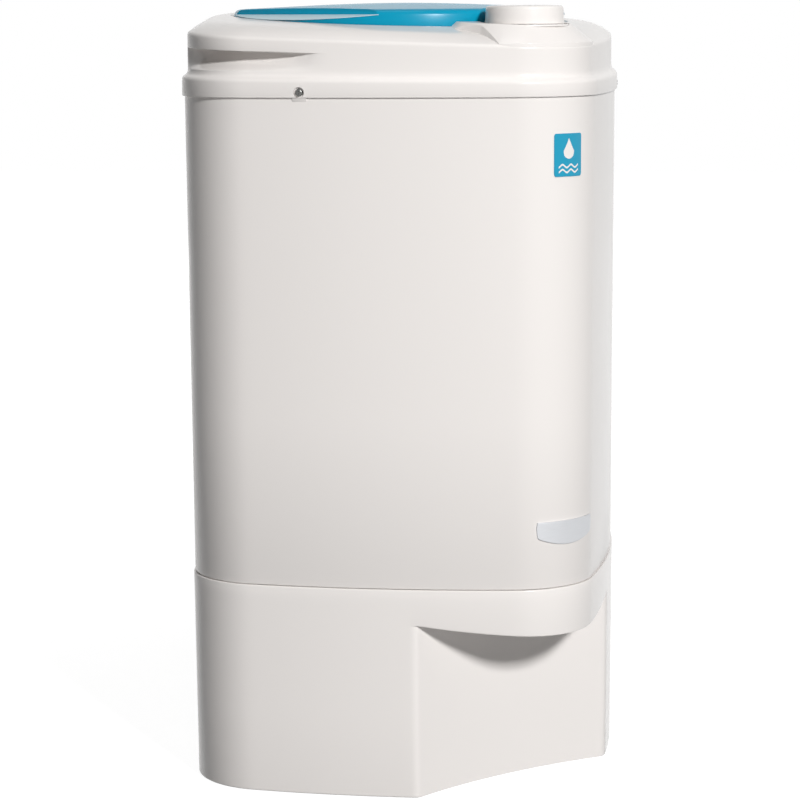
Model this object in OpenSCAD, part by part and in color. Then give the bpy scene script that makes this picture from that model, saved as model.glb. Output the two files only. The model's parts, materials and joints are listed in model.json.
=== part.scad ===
// Laundry spin dryer, free standing, lid on top and drain under the front corner.
// Millimetres, +Z up. The origin lies on the floor under the middle of the casing.
// The flat sides face the X and Y axes, and the front corner points to +X and -Y.

/* [Casing] */
// Width across the flats of the body shell, at its lower edge
body_w = 357; // [330:1:390]
// Radius of the casing's four upright corners
corner_r = 70; // [62:1:80]
// Radius of the slight outward bow of each side
side_r = 820; // [700:10:1200]
// Wall of the moulded casing
wall = 3; // [2.6:0.1:3.4]
// Outward lean of the body shell's sides, in degrees
body_lean = 0.25; // [0:0.05:0.4]
// Height of the body shell between base and cover
body_h = 416; // [400:1:460]

/* [Base] */
// Height of the base housing's upper edge above the floor
base_h = 179; // [176:1:190]
// How far the base's upper edge stands proud of the body shell
rim_proud = 1.2; // [0.8:0.1:2]
// Inward lean of the base's sides, in degrees
base_lean = 0.42; // [0.2:0.02:0.8]
// Distance from the casing's middle to the concave front face
cut_face = 136.6; // [134:0.2:142]
// Radius of the concave front face
cut_r = 510; // [420:10:700]
// Height of the top of the base above the lip's lowest point
lip_drop = 40.4; // [36:0.1:44]
// Radius of the lip's bowed lower edge
lip_r = 565; // [480:5:800]
// Gap between the base housing and the floor
foot_gap = 0.6; // [0.5:0.1:3]
// Radius of a rubber foot
foot_r = 14; // [11:0.5:16]
// Height of the base plate's underside above the floor
plate_z = 6; // [5:0.5:8]

/* [Top cover] */
// How far the skirt stands proud of the body shell
skirt_proud = 2.2; // [1.8:0.1:3]
// How far the skirt reaches below the body shell's upper edge
skirt_drop = 9.6; // [8:0.2:11]
// How far the cover's wall is set back from the body shell
cover_set_back = 3.1; // [2.4:0.1:3.6]
// Height of the cover's rim above the body shell, on the middle line
rim_rise = 42.2; // [39:0.1:43]
// Height of the lid's border above the body shell, on the middle line
border_rise = 52.7; // [51:0.1:56]
// Slope of the cover's top towards the front corner, in degrees
tilt = 2.58; // [2.2:0.02:2.8]
// Depth of the hand grips at their deepest
grip_depth = 20; // [8:1:24]
// Reach of a hand grip from its deepest place towards the front
grip_ahead = 76; // [60:1:90]
// Reach of a hand grip from its deepest place towards the back
grip_behind = 48; // [30:1:60]
// Height of the knob's pod above the sloping top
pod_rise = 4; // [3:0.2:5]
// Half width of the pod at the lid
pod_half = 53; // [50:0.5:56]

/* [Lid] */
// Radius of the lid
lid_r = 145; // [142:0.5:147]
// Distance of the lid's middle behind the casing's middle
lid_back = 10; // [8:0.5:12]
// Wall of the lid
lid_wall = 2.5; // [2:0.1:3]
// Height of the lid's upper edge above the body shell
lid_rise = 61; // [60:0.2:63]
// Rise of the lid's dome above its upper edge
dome_rise = 5; // [2:0.5:6]
// Gap between the lid and the cover's opening
lid_gap = 2.2; // [1.8:0.1:3]
// Radius of the hinge pin
pin_r = 2; // [1.5:0.1:2.4]

/* [Lock knob] */
// Radius of the knob
knob_r = 32; // [29:0.5:33]
// Height of the knob
knob_h = 15.4; // [13:0.1:17]
// Distance of the knob from the casing's middle
knob_at = 162; // [160:0.5:164]
// Radius of the knob's shaft
knob_shaft_r = 6; // [5:0.1:7]
// Travel of the interlock switch's plunger
plunger_travel = 3; // [2:0.2:4]

/* [Tub and basket] */
// Outer radius of the tub
tub_r = 150; // [146:0.5:153]
// Wall of the tub
tub_wall = 2.5; // [2:0.1:3.5]
// Height of the tub's floor above the top of the base
tub_lift = 26; // [24:1:33]
// Outer radius of the basket
basket_r = 125; // [118:0.5:130]
// Thickness of the basket's steel
steel = 1.5; // [1:0.1:2]
// Height of the basket's wall
basket_h = 317; // [300:1:318]
// Radius of the basket's mouth
mouth_r = 112; // [110:0.5:114]
// Radius of a drain hole in the basket
basket_hole_r = 3; // [2:0.1:4]
// Rows of drain holes
hole_rows = 8; // [4:1:9]
// Drain holes in a row
holes_in_row = 16; // [8:1:20]

/* [Drive] */
// Radius of the motor shaft
shaft_r = 7.5; // [7:0.1:8]
// Outer radius of the ball bearings
bearing_r = 17.5; // [16:0.5:19]
// Width of the ball bearings
bearing_w = 11; // [9:0.5:12]
// Outer radius of the stator
stator_r = 56; // [52:0.5:58]
// Height of the stator's stack of sheets
stack_h = 50; // [40:1:54]
// Gap between rotor and stator
air_gap = 0.6; // [0.4:0.1:1]
// Radius of the brake drum
brake_r = 45; // [40:0.5:46]
// Swing of the brake lever, in degrees
brake_swing = 5; // [3:0.5:6]

/* [Drain] */
// Outer radius of the drain spout
spout_r = 13; // [11:0.5:14]
// Distance of the drain spout from the casing's middle
spout_at = 156; // [155:0.5:158]

/* [Fits] */
// Radial clearance of a shaft that turns in its bore
run_fit = 0.05; // [0.02:0.01:0.1]
// Gap between pieces that stay apart
gap = 0.3; // [0.25:0.01:0.4]
// Radius of the shank of a cover screw
screw_r = 2; // [1.6:0.1:2.4]
// Radius of the head of a cover screw
screw_head_r = 4.25; // [3.8:0.05:4.5]
// Radius of the bolts of the motor and its mounts
bolt_r = 3; // [2.5:0.1:3.5]

/* [Hidden] */

white = [0.90, 0.89, 0.88];
aqua = [0.05, 0.60, 0.72];
steel_grey = [0.70, 0.71, 0.73];
rubber_black = [0.10, 0.10, 0.11];
zinc = [0.62, 0.64, 0.66];
copper = [0.72, 0.42, 0.22];

far = 400;

// Heights above the floor
seam_z = base_h;
lip_z = seam_z - lip_drop;
tub_floor_z = seam_z + tub_lift;
body_top_z = seam_z + body_h;
rim_z = body_top_z + rim_rise;
border_z = body_top_z + border_rise;
lid_edge_z = body_top_z + lid_rise;
ledge_z = body_top_z + 40;
ledge_t = 3;
neck_z = ledge_z - 2 * ledge_t - gap / 2;
tub_top_z = body_top_z + 5;
gasket_h = 3;
deck_t = 3;
deck_z = seam_z - 19;
motor_plate_t = 3;
mount_h = 13;
motor_plate_z = deck_z + deck_t + mount_h;
basket_floor_z = tub_floor_z + 42;
basket_top_z = basket_floor_z + basket_h;

// Plan outline: four bowed sides and four corner arcs that meet without a kink
half_w = body_w / 2;
bow_back = half_w - side_r;
corner_c = (bow_back + sqrt(2 * pow(side_r - corner_r, 2) - pow(bow_back, 2))) / 2;
side_half = asin(corner_c / (side_r - corner_r));
corner_rho = corner_c * sqrt(2);
side_steps = 10;
corner_steps = 10;
quarter = side_steps + corner_steps;
outline_n = 4 * quarter;
lean = tan(body_lean);
slope = tan(tilt);

function turn(p, a) = [p.x * cos(a) - p.y * sin(a), p.x * sin(a) + p.y * cos(a)];
function side_point(a, off) = [bow_back + (side_r + off) * cos(a), (side_r + off) * sin(a)];
function corner_point(a, off) = [corner_c + (corner_r + off) * cos(a), corner_c + (corner_r + off) * sin(a)];
function quarter_point(i, off) = i < side_steps
    ? side_point(side_half * (2 * i / side_steps - 1), off)
    : corner_point(side_half + (90 - 2 * side_half) * (i - side_steps) / corner_steps, off);
function outline_point(k, off) = turn(quarter_point(k % quarter, off), 90 * floor(k / quarter));
function outline(off) = [for (k = [0 : outline_n - 1]) outline_point(k, off)];
function diag(p) = (p.x - p.y) / sqrt(2);
function across(p) = (p.x + p.y) / sqrt(2);
function mix(a, b, s) = a + (b - a) * s;

// Distance from the middle of a side's outer face to the axis, at a given place along the side
function side_at(s) = bow_back + sqrt(side_r * side_r - s * s);

// A ring of the outline at one height, and a closed skin through a list of rings
function level_ring(z, off) = [for (p = outline(off)) [p.x, p.y, z]];
function skin_faces(rings, count) = [
    for (i = [0 : rings - 1], k = [0 : count - 1])
        let (a = i * count, b = ((i + 1) % rings) * count, l = (k + 1) % count)
            each [[a + k, b + k, b + l], [a + k, b + l, a + l]]
];
module skin(rings) {
    polyhedron(
        points = [for (r = rings) each r],
        faces = skin_faces(len(rings), len(rings[0])),
        convexity = 8
    );
}

// Frame of the front corner: local X runs from the axis to the front corner, local Y across it
module on_diagonal(rho = 0, across = 0, z = 0) {
    rotate([0, 0, -45]) translate([rho, across, z]) children();
}
module disc(r, h, z = 0) {
    translate([0, 0, z]) cylinder(r = r, h = h, $fn = 96);
}
module tube(r_out, r_in, h, z = 0) {
    difference() {
        disc(r_out, h, z);
        disc(r_in, h + 2, z - 1);
    }
}
module block(from, to) {
    translate(from) cube(to - from);
}
// Everything below the sloping top plane that passes through height z over the axis
module below_slope(z) {
    translate([0, 0, z]) rotate([0, tilt, 0]) block([-far, -far, -far], [far, far, 0]);
}

// ---------------------------------------------------------------- base

plug_depth = 8;
plug_off = rim_proud - wall - gap;
function base_off(z) = rim_proud - (seam_z - z) * tan(base_lean);

function base_rings() = [
    level_ring(foot_gap, base_off(0) - 1.2),
    level_ring(foot_gap + 0.4, base_off(0) - 0.4),
    level_ring(foot_gap + 1.4, base_off(0)),
    level_ring(seam_z - 2, base_off(seam_z)),
    level_ring(seam_z - 0.5, base_off(seam_z) - 0.4),
    level_ring(seam_z, base_off(seam_z) - 1.1),
    level_ring(seam_z, rim_proud - wall),
    level_ring(deck_z, rim_proud - wall),
    level_ring(deck_z, rim_proud - wall - 8),
    level_ring(deck_z - 4, rim_proud - wall - 8),
    level_ring(deck_z - 10, base_off(deck_z) - wall),
    level_ring(foot_gap + 8, base_off(0) - wall),
    level_ring(foot_gap, base_off(0) - 1.2 - wall / 2)
];

// The space under the lip, grown by t for the panels that line it
module recess_space(t) {
    on_diagonal() difference() {
        translate([cut_face + cut_r, 0, -1]) cylinder(r = cut_r + t, h = seam_z - 12, $fn = 256);
        translate([0, 0, lip_z + lip_r]) rotate([0, 90, 0]) cylinder(r = lip_r - t, h = far, $fn = 256);
    }
}

boss_r = 6;
boss_h = 28;
boss_z = plate_z + 3;
boss_in = 9;
boss_places = [
    [-40, boss_in - side_at(40)], [side_at(40) - boss_in, 40],
    [boss_in - half_w, 0], [0, half_w - boss_in]
];
gland_y = 60;
gland_z = 34;
gland_r = 9;
gland_bore_r = 4.5;
gland_flange_r = gland_r + 3;
gland_flange_t = 2.5;
gland_x = side_at(gland_y - gland_flange_r) + base_off(gland_z + gland_flange_r) + gap / 4;
gland_nut_at = wall + gap + side_at(gland_y - gland_flange_r) - side_at(gland_y + gland_flange_r);

module base_housing() {
    color(white) difference() {
        union() {
            skin(base_rings());
            intersection() {
                recess_space(wall);
                translate([0, 0, foot_gap]) linear_extrude(seam_z) polygon(outline(base_off(0) - wall / 2));
            }
            for (p = boss_places) translate([p.x, p.y, boss_z]) cylinder(r = boss_r, h = boss_h, $fn = 32);
        }
        recess_space(0);
        on_diagonal(spout_at, 0, 0) disc(spout_r + gap, seam_z);
        for (p = boss_places) translate([p.x, p.y, boss_z - 1]) cylinder(r = screw_r, h = 16, $fn = 32);
        translate([-half_w - 5, gland_y, gland_z]) rotate([0, 90, 0]) cylinder(r = gland_r, h = 20, $fn = 48);
    }
}

foot_places = [[-118, 118], [-118, -118], [118, 118], [80, -80]];
foot_stem_r = 4;
plate_t = 3;

module base_plate() {
    color(steel_grey) difference() {
        translate([0, 0, plate_z]) linear_extrude(plate_t) polygon(outline(base_off(0) - wall - gap));
        on_diagonal(cut_face + cut_r, 0, 0) cylinder(r = cut_r + wall + gap, h = 40, $fn = 256);
        for (p = foot_places) translate([p.x, p.y, 0]) disc(foot_stem_r, 40);
        for (p = boss_places) translate([p.x, p.y, 0]) disc(screw_r + gap, 40);
        for (a = [0 : 30 : 330]) rotate([0, 0, a]) translate([60, 0, 0]) disc(9, 40);
        translate([cap_place.x, cap_place.y, 0]) disc(screw_r, 40);
    }
}

module feet() {
    color(rubber_black) for (p = foot_places) translate([p.x, p.y, 0]) union() {
        cylinder(r1 = foot_r - 1.5, r2 = foot_r, h = plate_z, $fn = 64);
        translate([0, 0, plate_z]) cylinder(r = foot_stem_r, h = plate_t + 2, $fn = 32);
    }
}

module base_screws() {
    color(zinc) for (p = boss_places) translate([p.x, p.y, 0]) union() {
        translate([0, 0, plate_z - 2]) cylinder(r = screw_head_r, h = 2, $fn = 48);
        translate([0, 0, plate_z]) cylinder(r = screw_r - gap / 4, h = plate_t + 12, $fn = 32);
    }
}

// ---------------------------------------------------------------- body shell

body_top_off = lean * body_h;

function body_rings() = [
    level_ring(seam_z - plug_depth, plug_off),
    level_ring(seam_z, plug_off),
    level_ring(seam_z, 0),
    level_ring(body_top_z, body_top_off),
    level_ring(body_top_z, body_top_off - wall),
    level_ring(seam_z + 6, 6 * lean - wall),
    level_ring(seam_z + 1.5, plug_off - wall * 0.8),
    level_ring(seam_z - plug_depth, plug_off - wall * 0.8)
];

screw_along = 63;
screw_z = body_top_z - 5.2;
// One screw on each side, on the half that lies next to a hand grip
module at_cover_screws() {
    for (a = [0 : 90 : 270], half = a % 180 == 0 ? 1 : -1)
        rotate([0, 0, a]) translate([bow_back, 0, screw_z]) rotate([0, 0, half * asin(screw_along / side_r)])
            translate([side_r, 0, 0]) rotate([0, 90, 0]) children();
}

module body_shell() {
    color(white) difference() {
        skin(body_rings());
        at_cover_screws() translate([0, 0, -12]) cylinder(r = screw_r + gap / 4, h = 24, $fn = 32);
    }
}

badge_w = 63;
badge_h = 20;
badge_z = seam_z + 56.5;
badge_across = 5;
badge_t = 1;
label_w = 29.5;
label_h = 35;
label_z = body_top_z - 57;
label_across = 2.4;
label_t = 0.4;

// A curved plate of thickness t that lies on the front corner between two heights
module corner_plate(t, z_low, z_high) {
    on_diagonal(corner_rho) difference() {
        disc(corner_r + (z_high - seam_z) * lean + gap / 2 + t, z_high - z_low, z_low);
        disc(corner_r + (z_high - seam_z) * lean + gap / 2, z_high - z_low + 2, z_low - 1);
    }
}
// Pushes a flat shape, drawn across and up, through the front corner
module through_corner(across, z) {
    on_diagonal(corner_rho, across, z) rotate([90, 0, 90]) linear_extrude(corner_r + 20) children();
}

module badge_plate() {
    color(steel_grey) intersection() {
        corner_plate(badge_t, badge_z - badge_h - 1, badge_z + 1);
        through_corner(badge_across, badge_z) intersection() {
            translate([0, -badge_h / 2]) square([badge_w, badge_h], center = true);
            translate([0, 1.2 * badge_w - badge_h]) circle(r = 1.2 * badge_w, $fn = 128);
            translate([0, -badge_h * 0.25]) circle(r = badge_w / 2, $fn = 96);
        }
    }
}

module label_panel() {
    color(aqua) intersection() {
        corner_plate(label_t, label_z - label_h / 2 - 1, label_z + label_h / 2 + 1);
        through_corner(label_across, label_z) union() {
            square([label_w, label_h - 4], center = true);
            square([label_w - 4, label_h], center = true);
            for (sx = [-1, 1], sy = [-1, 1])
                translate([sx * (label_w / 2 - 2), sy * (label_h / 2 - 2)]) circle(r = 2, $fn = 24);
        }
    }
}

// ---------------------------------------------------------------- top cover

wall_off = body_top_off - cover_set_back;
skirt_off = body_top_off + skirt_proud;
skirt_in = body_top_off + gap;
skirt_z = body_top_z - skirt_drop;
grip_low_z = body_top_z + 11.5;
grip_high_z = body_top_z + 28;
recess_r = lid_r + lid_gap;
lid_centre = turn([-lid_back, 0], -45);
ledge_in_r = 132;

// How deep the hand grip is at a point of the outline, from 0 to 1
grip_at = 12;
function grip_place(p) = (diag(p) - grip_at) / (diag(p) > grip_at ? grip_ahead : grip_behind);
function grip_share(p) = abs(across(p)) > 110 ? max(0, 1 - pow(grip_place(p), 2)) : 0;
function cover_ring(z, off, tilt_share = 0, grip = 0) = [
    for (k = [0 : outline_n - 1])
        let (p = outline_point(k, off))
        let (q = outline_point(k, off - grip * grip_share(p)))
            [q.x, q.y, z - tilt_share * slope * diag(p)]
];
// A ring of a circle, with its points seen from the axis at the angles of the outline's points
function circle_ring(c, r, z, tilt_share = 0) = [
    for (p = outline(0))
        let (u = p / norm(p))
        let (along = u * c)
        let (q = u * (along + sqrt(r * r - (c * c - along * along))))
            [q.x, q.y, z - tilt_share * slope * diag(q)]
];
// A ring between two rings, raised by a bulge that gets less towards the front corner
function blend_ring(a, b, s, bulge) = [
    for (k = [0 : len(a) - 1]) mix(a[k], b[k], s) + [0, 0, bulge * min(1, 1 - diag(a[k]) / 400)]
];

rim_tilt = 1.1;
function cover_rim() = cover_ring(rim_z, wall_off - 2, rim_tilt);
function cover_border() = circle_ring(lid_centre, recess_r + 1.5, border_z, 1);
function cover_under_rim() = cover_ring(rim_z - wall - 1, wall_off - wall, rim_tilt);
function cover_under_border() = circle_ring(lid_centre, recess_r + wall, border_z - wall - 1, 1);

function cover_rings() = [
    cover_ring(skirt_z, skirt_off - 0.4),
    cover_ring(skirt_z + 0.8, skirt_off),
    cover_ring(body_top_z + 4, skirt_off - 0.2, 0.3),
    cover_ring(body_top_z + 6, skirt_off - 1.1, 0.3),
    cover_ring(body_top_z + 9, wall_off + 0.9, 0.3),
    cover_ring(grip_low_z, wall_off, 0.3),
    cover_ring(grip_high_z - 0.4, wall_off, 0.3, grip_depth),
    cover_ring(grip_high_z, wall_off, 0.3),
    cover_ring(rim_z - 2.5, wall_off - 0.1, rim_tilt),
    cover_rim(),
    blend_ring(cover_rim(), cover_border(), 0.13, 2.6),
    blend_ring(cover_rim(), cover_border(), 0.36, 4.2),
    blend_ring(cover_rim(), cover_border(), 0.68, 2.4),
    cover_border(),
    circle_ring(lid_centre, recess_r, border_z - 1, 1),
    circle_ring(lid_centre, recess_r, ledge_z),
    circle_ring([0, 0], ledge_in_r, ledge_z),
    circle_ring([0, 0], ledge_in_r, ledge_z - ledge_t),
    circle_ring(lid_centre, recess_r + wall, ledge_z - ledge_t),
    cover_under_border(),
    blend_ring(cover_under_rim(), cover_under_border(), 0.68, 2.8),
    blend_ring(cover_under_rim(), cover_under_border(), 0.35, 3.3),
    cover_under_rim(),
    cover_ring(grip_high_z + wall, wall_off - wall, 0.3, grip_depth),
    cover_ring(grip_high_z - 2, wall_off - wall, 0.3, grip_depth),
    cover_ring(grip_low_z, wall_off - wall),
    cover_ring(body_top_z + 5, wall_off - wall),
    cover_ring(body_top_z, body_top_off - wall - 1),
    cover_ring(body_top_z, skirt_in),
    cover_ring(skirt_z, skirt_in)
];

pod_z = border_z + pod_rise;
seat_z = body_top_z + 46.5;
ring_t = 1.7;
knob_z = seat_z + ring_t + gap;
knob_ring_r = knob_r + 4.5;
cam_z = body_top_z + 25;
arm_t = 4;
arm_reach = 43;
spiral_r = 12;
spiral_t = 6;
boss_low_z = cam_z + arm_t + gap;

pod_corner_r = corner_r + wall_off - 0.4;
pod_rim_z = rim_z - 7.4;

// The pod's plan with X along the diagonal, drawn t smaller
module pod_plan(t) {
    for (s = [-1, 1]) polygon([
        [knob_at - 42 + t, 0], [knob_at - 42 + t, s * (pod_half - t)], [knob_at + 2, s * (knob_r + 9 - t)],
        [knob_at + 38, s * (knob_r + 13 - t)], [knob_at + 60, s * (knob_r + 16 - t)], [knob_at + 60, 0]
    ]);
}
module pod_block(t) {
    intersection() {
        union() {
            linear_extrude(far * 2) pod_plan(t);
            translate([knob_at, 0, 0]) disc(knob_ring_r + 1 - t, far * 2);
        }
        translate([corner_rho, 0, 0]) union() {
            disc(pod_corner_r - t, pod_rim_z);
            translate([0, 0, pod_rim_z])
                cylinder(r1 = pod_corner_r - t, r2 = pod_corner_r - t - 35, h = 30, $fn = 128);
        }
        below_slope(pod_z - t);
        block([0, -far, grip_high_z - 0.8 - 6 * t], [far, far, far * 2]);
    }
}

hook_t = 3;
hook_half = 10;
arm_half = 5;
hook_at = knob_at - knob_r - 8.5;
module hook_slot() {
    block([hook_at - 4, -hook_half - 2, neck_z - 10], [hook_at + 10, hook_half + 2, ledge_z + 5]);
}

hinge_z = body_top_z + 58;
hinge_at = -(lid_r + lid_back + 6);
ear_out = 23;
ear_in = 13.5;
knuckle_r = 4;
pocket_half = 26;
pocket_z = hinge_z - 9;

// Tabs of the skirt that hold the cover screws
tab_w = 13;
tab_h = 12.2;

// Room for the locking cam's arm to swing under the pod
module arm_sweep() {
    on_diagonal() intersection() {
        translate([knob_at, 0, 0]) disc(arm_reach + 2, arm_t + 1.5, cam_z - 1);
        block([0, -arm_half - 2, 0], [far, far, far * 2]);
    }
}

module top_cover() {
    color(white) difference() {
        union() {
            skin(cover_rings());
            on_diagonal() difference() {
                pod_block(0);
                difference() {
                    translate([-lid_back, 0, 0]) disc(recess_r, far * 2);
                    translate([knob_at, 0, 0]) disc(knob_ring_r, far * 2);
                }
            }
            on_diagonal(0, 0, 0) block(
                [hinge_at - 9, -pocket_half - wall, pocket_z - wall],
                [hinge_at + 8, pocket_half + wall, hinge_z - 4]);
            at_cover_screws() translate([-4.4, -tab_w / 2, skirt_in])
                cube([tab_h, tab_w, skirt_proud - 2 * gap]);
        }
        on_diagonal() difference() {
            pod_block(wall);
            translate([-lid_back, 0, 0]) disc(recess_r + wall, far * 2);
            translate([knob_at, 0, boss_low_z]) disc(knob_shaft_r + 6, 60);
            switch_post();
        }
        on_diagonal(knob_at, 0, seat_z) disc(knob_ring_r + gap, 40);
        on_diagonal(knob_at, 0, 0) disc(knob_shaft_r + run_fit, far * 2);
        on_diagonal() hook_slot();
        arm_sweep();
        disc(tub_r - 2, ledge_z - ledge_t - gap / 4 - skirt_z, skirt_z);
        on_diagonal() block(
            [hinge_at - 6, -pocket_half, pocket_z],
            [hinge_at + 12, pocket_half, pocket_z + 40]);
        at_cover_screws() translate([0, 0, -12]) cylinder(r = screw_r + gap / 4, h = 24, $fn = 32);
    }
}

module cover_screws() {
    color(zinc) at_cover_screws() difference() {
        union() {
            translate([0, 0, skirt_off]) cylinder(r = screw_head_r, h = 0.8, $fn = 48);
            translate([0, 0, skirt_off + 0.8])
                cylinder(r1 = screw_head_r, r2 = screw_head_r - 1.2, h = 0.9, $fn = 48);
            translate([0, 0, -9]) cylinder(r = screw_r, h = 9 + skirt_off, $fn = 32);
        }
        for (a = [0, 90]) rotate([0, 0, a]) translate([-2.2, -0.45, skirt_off + 0.7]) cube([4.4, 0.9, 2]);
    }
}

// ---------------------------------------------------------------- tub and neck

neck_r = 108;
neck_wall = 3;
neck_low_z = body_top_z - 6;

module neck_ring() {
    color(white) difference() {
        union() {
            tube(tub_r - 3, neck_r, ledge_t, neck_z);
            tube(tub_r - 3, tub_r - 6, neck_z - tub_top_z - gasket_h, tub_top_z + gasket_h);
        }
        on_diagonal() hook_slot();
        on_diagonal(knob_at, 0, 0) disc(arm_reach + 2, arm_t + 6, cam_z - 3);
    }
}

module neck_collar() {
    color(white) tube(neck_r + neck_wall, neck_r, neck_z - neck_low_z, neck_low_z);
}

module tub_gasket() {
    color(rubber_black) tube(tub_r + 1, tub_r - 7, gasket_h, tub_top_z);
}

chimney_r = 24;
chimney_h = 27;
sump_r = spout_r + 6;
sump_z = tub_floor_z - 6;
sump_h = 28;
brace_r = 143;

module outer_tub() {
    color(white) difference() {
        union() {
            disc(tub_r, tub_top_z - tub_floor_z, tub_floor_z);
            on_diagonal(spout_at, 0, 0) disc(sump_r, sump_h, sump_z);
            disc(brace_r, tub_floor_z - deck_z - deck_t, deck_z + deck_t);
            tube(tub_r + 1, tub_r - 8, 3, tub_top_z - 3);
        }
        difference() {
            disc(tub_r - tub_wall, far * 2, tub_floor_z + tub_wall);
            disc(chimney_r, chimney_h, tub_floor_z);
            tube(tub_r + 1, tub_r - 8, 3, tub_top_z - 3);
        }
        on_diagonal(spout_at, 0, 0) disc(sump_r - tub_wall, sump_h - 2 * tub_wall, sump_z + tub_wall);
        on_diagonal(spout_at, 0, 0) disc(spout_r - 2, 20, sump_z - 5);
        disc(chimney_r - tub_wall - 1.5, far, tub_floor_z - 1);
        disc(brace_r - tub_wall, tub_floor_z - deck_z, deck_z);
        for (a = [15 : 60 : 315]) rotate([0, 0, a]) block(
            [brace_r - 20, -28, deck_z + deck_t + 6], [brace_r + 20, 28, tub_floor_z - 6]);
    }
}

spout_low_z = lip_z + 6;
module drain_spout() {
    color(white) on_diagonal(spout_at, 0, 0) difference() {
        disc(spout_r, sump_z - spout_low_z, spout_low_z);
        disc(spout_r - 2, far, spout_low_z - 1);
    }
}

seal_h = 6;
module shaft_seal() {
    color(rubber_black) tube(
        chimney_r - tub_wall - 1.5, shaft_r + run_fit, seal_h, tub_floor_z + chimney_h - seal_h);
}

// ---------------------------------------------------------------- deck and motor carrier

motor_hole_r = 78;
mount_at = 108;
mount_r = 14;
mount_angles = [15, 135, 255];
cable_at = 178;
cable_r = 2.5;
cable_angle = -12;

module support_deck() {
    color(white) difference() {
        translate([0, 0, deck_z]) linear_extrude(deck_t) polygon(outline(rim_proud - wall - gap));
        disc(motor_hole_r, 20, deck_z - 5);
        on_diagonal(spout_at, 0, 0) disc(spout_r + gap, far);
        for (a = mount_angles) rotate([0, 0, a]) translate([mount_at, 0, 0]) disc(bolt_r + gap, far);
    }
}

module suspension_mounts() {
    color(rubber_black) for (a = mount_angles) rotate([0, 0, a]) translate([mount_at, 0, 0]) difference() {
        union() {
            disc(mount_r, 4, deck_z + deck_t);
            disc(mount_r - 3, mount_h, deck_z + deck_t);
            disc(mount_r, 4, motor_plate_z - 4);
        }
        disc(bolt_r + gap, far);
    }
}

module mount_bolts() {
    color(zinc) for (a = mount_angles) rotate([0, 0, a]) translate([mount_at, 0, 0]) union() {
        disc(bolt_r, motor_plate_z + motor_plate_t - deck_z + 6, deck_z - 3);
        disc(bolt_r * 1.9, 4, motor_plate_z + motor_plate_t);
        translate([0, 0, deck_z - 4]) cylinder(r = bolt_r * 1.9, h = 4, $fn = 6);
    }
}

motor_plate_r = 126;
tie_at = 64;
tie_angles = [45, 135, 225, 315];
pivot = [-62, -56];
pivot_r = 4;

module motor_plate() {
    color(zinc) difference() {
        disc(motor_plate_r, motor_plate_t, motor_plate_z);
        disc(shaft_r + 6, far);
        for (a = mount_angles) rotate([0, 0, a]) translate([mount_at, 0, 0]) disc(bolt_r + gap, far);
        for (a = tie_angles) rotate([0, 0, a]) translate([tie_at, 0, 0]) disc(bolt_r - 0.5 + gap, far);
        translate([pivot.x, pivot.y, 0]) disc(pivot_r - 1, far);
    }
}

// ---------------------------------------------------------------- motor

bell_r = stator_r + 4;
bell_wall = 3;
end_turns_h = 12;
stack_z = motor_plate_z - 30 - stack_h;
upper_bell_z = stack_z + stack_h;
lower_bell_z = stack_z - 26;
upper_bearing_z = motor_plate_z - bell_wall - bearing_w;
lower_bearing_z = lower_bell_z + bell_wall;
tie_r = bolt_r - 0.5;

module bell(z, h, seat_z, closed_z) {
    difference() {
        union() {
            tube(bell_r, bell_r - bell_wall, h, z);
            disc(bell_r, bell_wall, closed_z);
            disc(bearing_r + 4, bearing_w, seat_z);
            for (a = tie_angles) rotate([0, 0, a]) translate([tie_at, 0, 0]) disc(tie_r + 3.5, h, z);
        }
        disc(bearing_r, bearing_w, seat_z);
        disc(shaft_r + 2, far, z - 10);
        for (a = tie_angles) rotate([0, 0, a]) translate([tie_at, 0, 0]) disc(tie_r + gap, far, z - 10);
        difference() {
            disc(bell_r - bell_wall, h - bell_wall, min(z, closed_z) + (closed_z > z ? 0 : bell_wall));
            disc(bearing_r + 4, bearing_w, seat_z);
        }
    }
}
module upper_bell() {
    color(zinc) bell(upper_bell_z, motor_plate_z - upper_bell_z, upper_bearing_z, motor_plate_z - bell_wall);
}
module lower_bell() {
    color(zinc) bell(lower_bell_z, stack_z - lower_bell_z, lower_bearing_z, lower_bell_z);
}
module stator() {
    color(steel_grey) difference() {
        union() {
            tube(stator_r, rotor_r + air_gap, stack_h, stack_z);
            tube(bell_r, stator_r - 1, stack_h, stack_z);
        }
        disc(rotor_r + air_gap, far);
    }
}
module windings() {
    color(copper) for (z = [stack_z - end_turns_h, stack_z + stack_h])
        tube(stator_r - 4, rotor_r + 4, end_turns_h, z);
}
module ball_bearing(z) {
    tube(bearing_r, shaft_r + run_fit, bearing_w, z);
}
module upper_bearing() {
    color(steel_grey) ball_bearing(upper_bearing_z);
}
module lower_bearing() {
    color(steel_grey) ball_bearing(lower_bearing_z);
}
module motor_bolts() {
    color(zinc) for (a = tie_angles) rotate([0, 0, a]) translate([tie_at, 0, 0]) union() {
        disc(tie_r, motor_plate_z + motor_plate_t - lower_bell_z, lower_bell_z);
        disc(tie_r * 1.8, 3, motor_plate_z + motor_plate_t);
        translate([0, 0, lower_bell_z - 3]) cylinder(r = tie_r * 1.8, h = 3, $fn = 6);
    }
}

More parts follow.
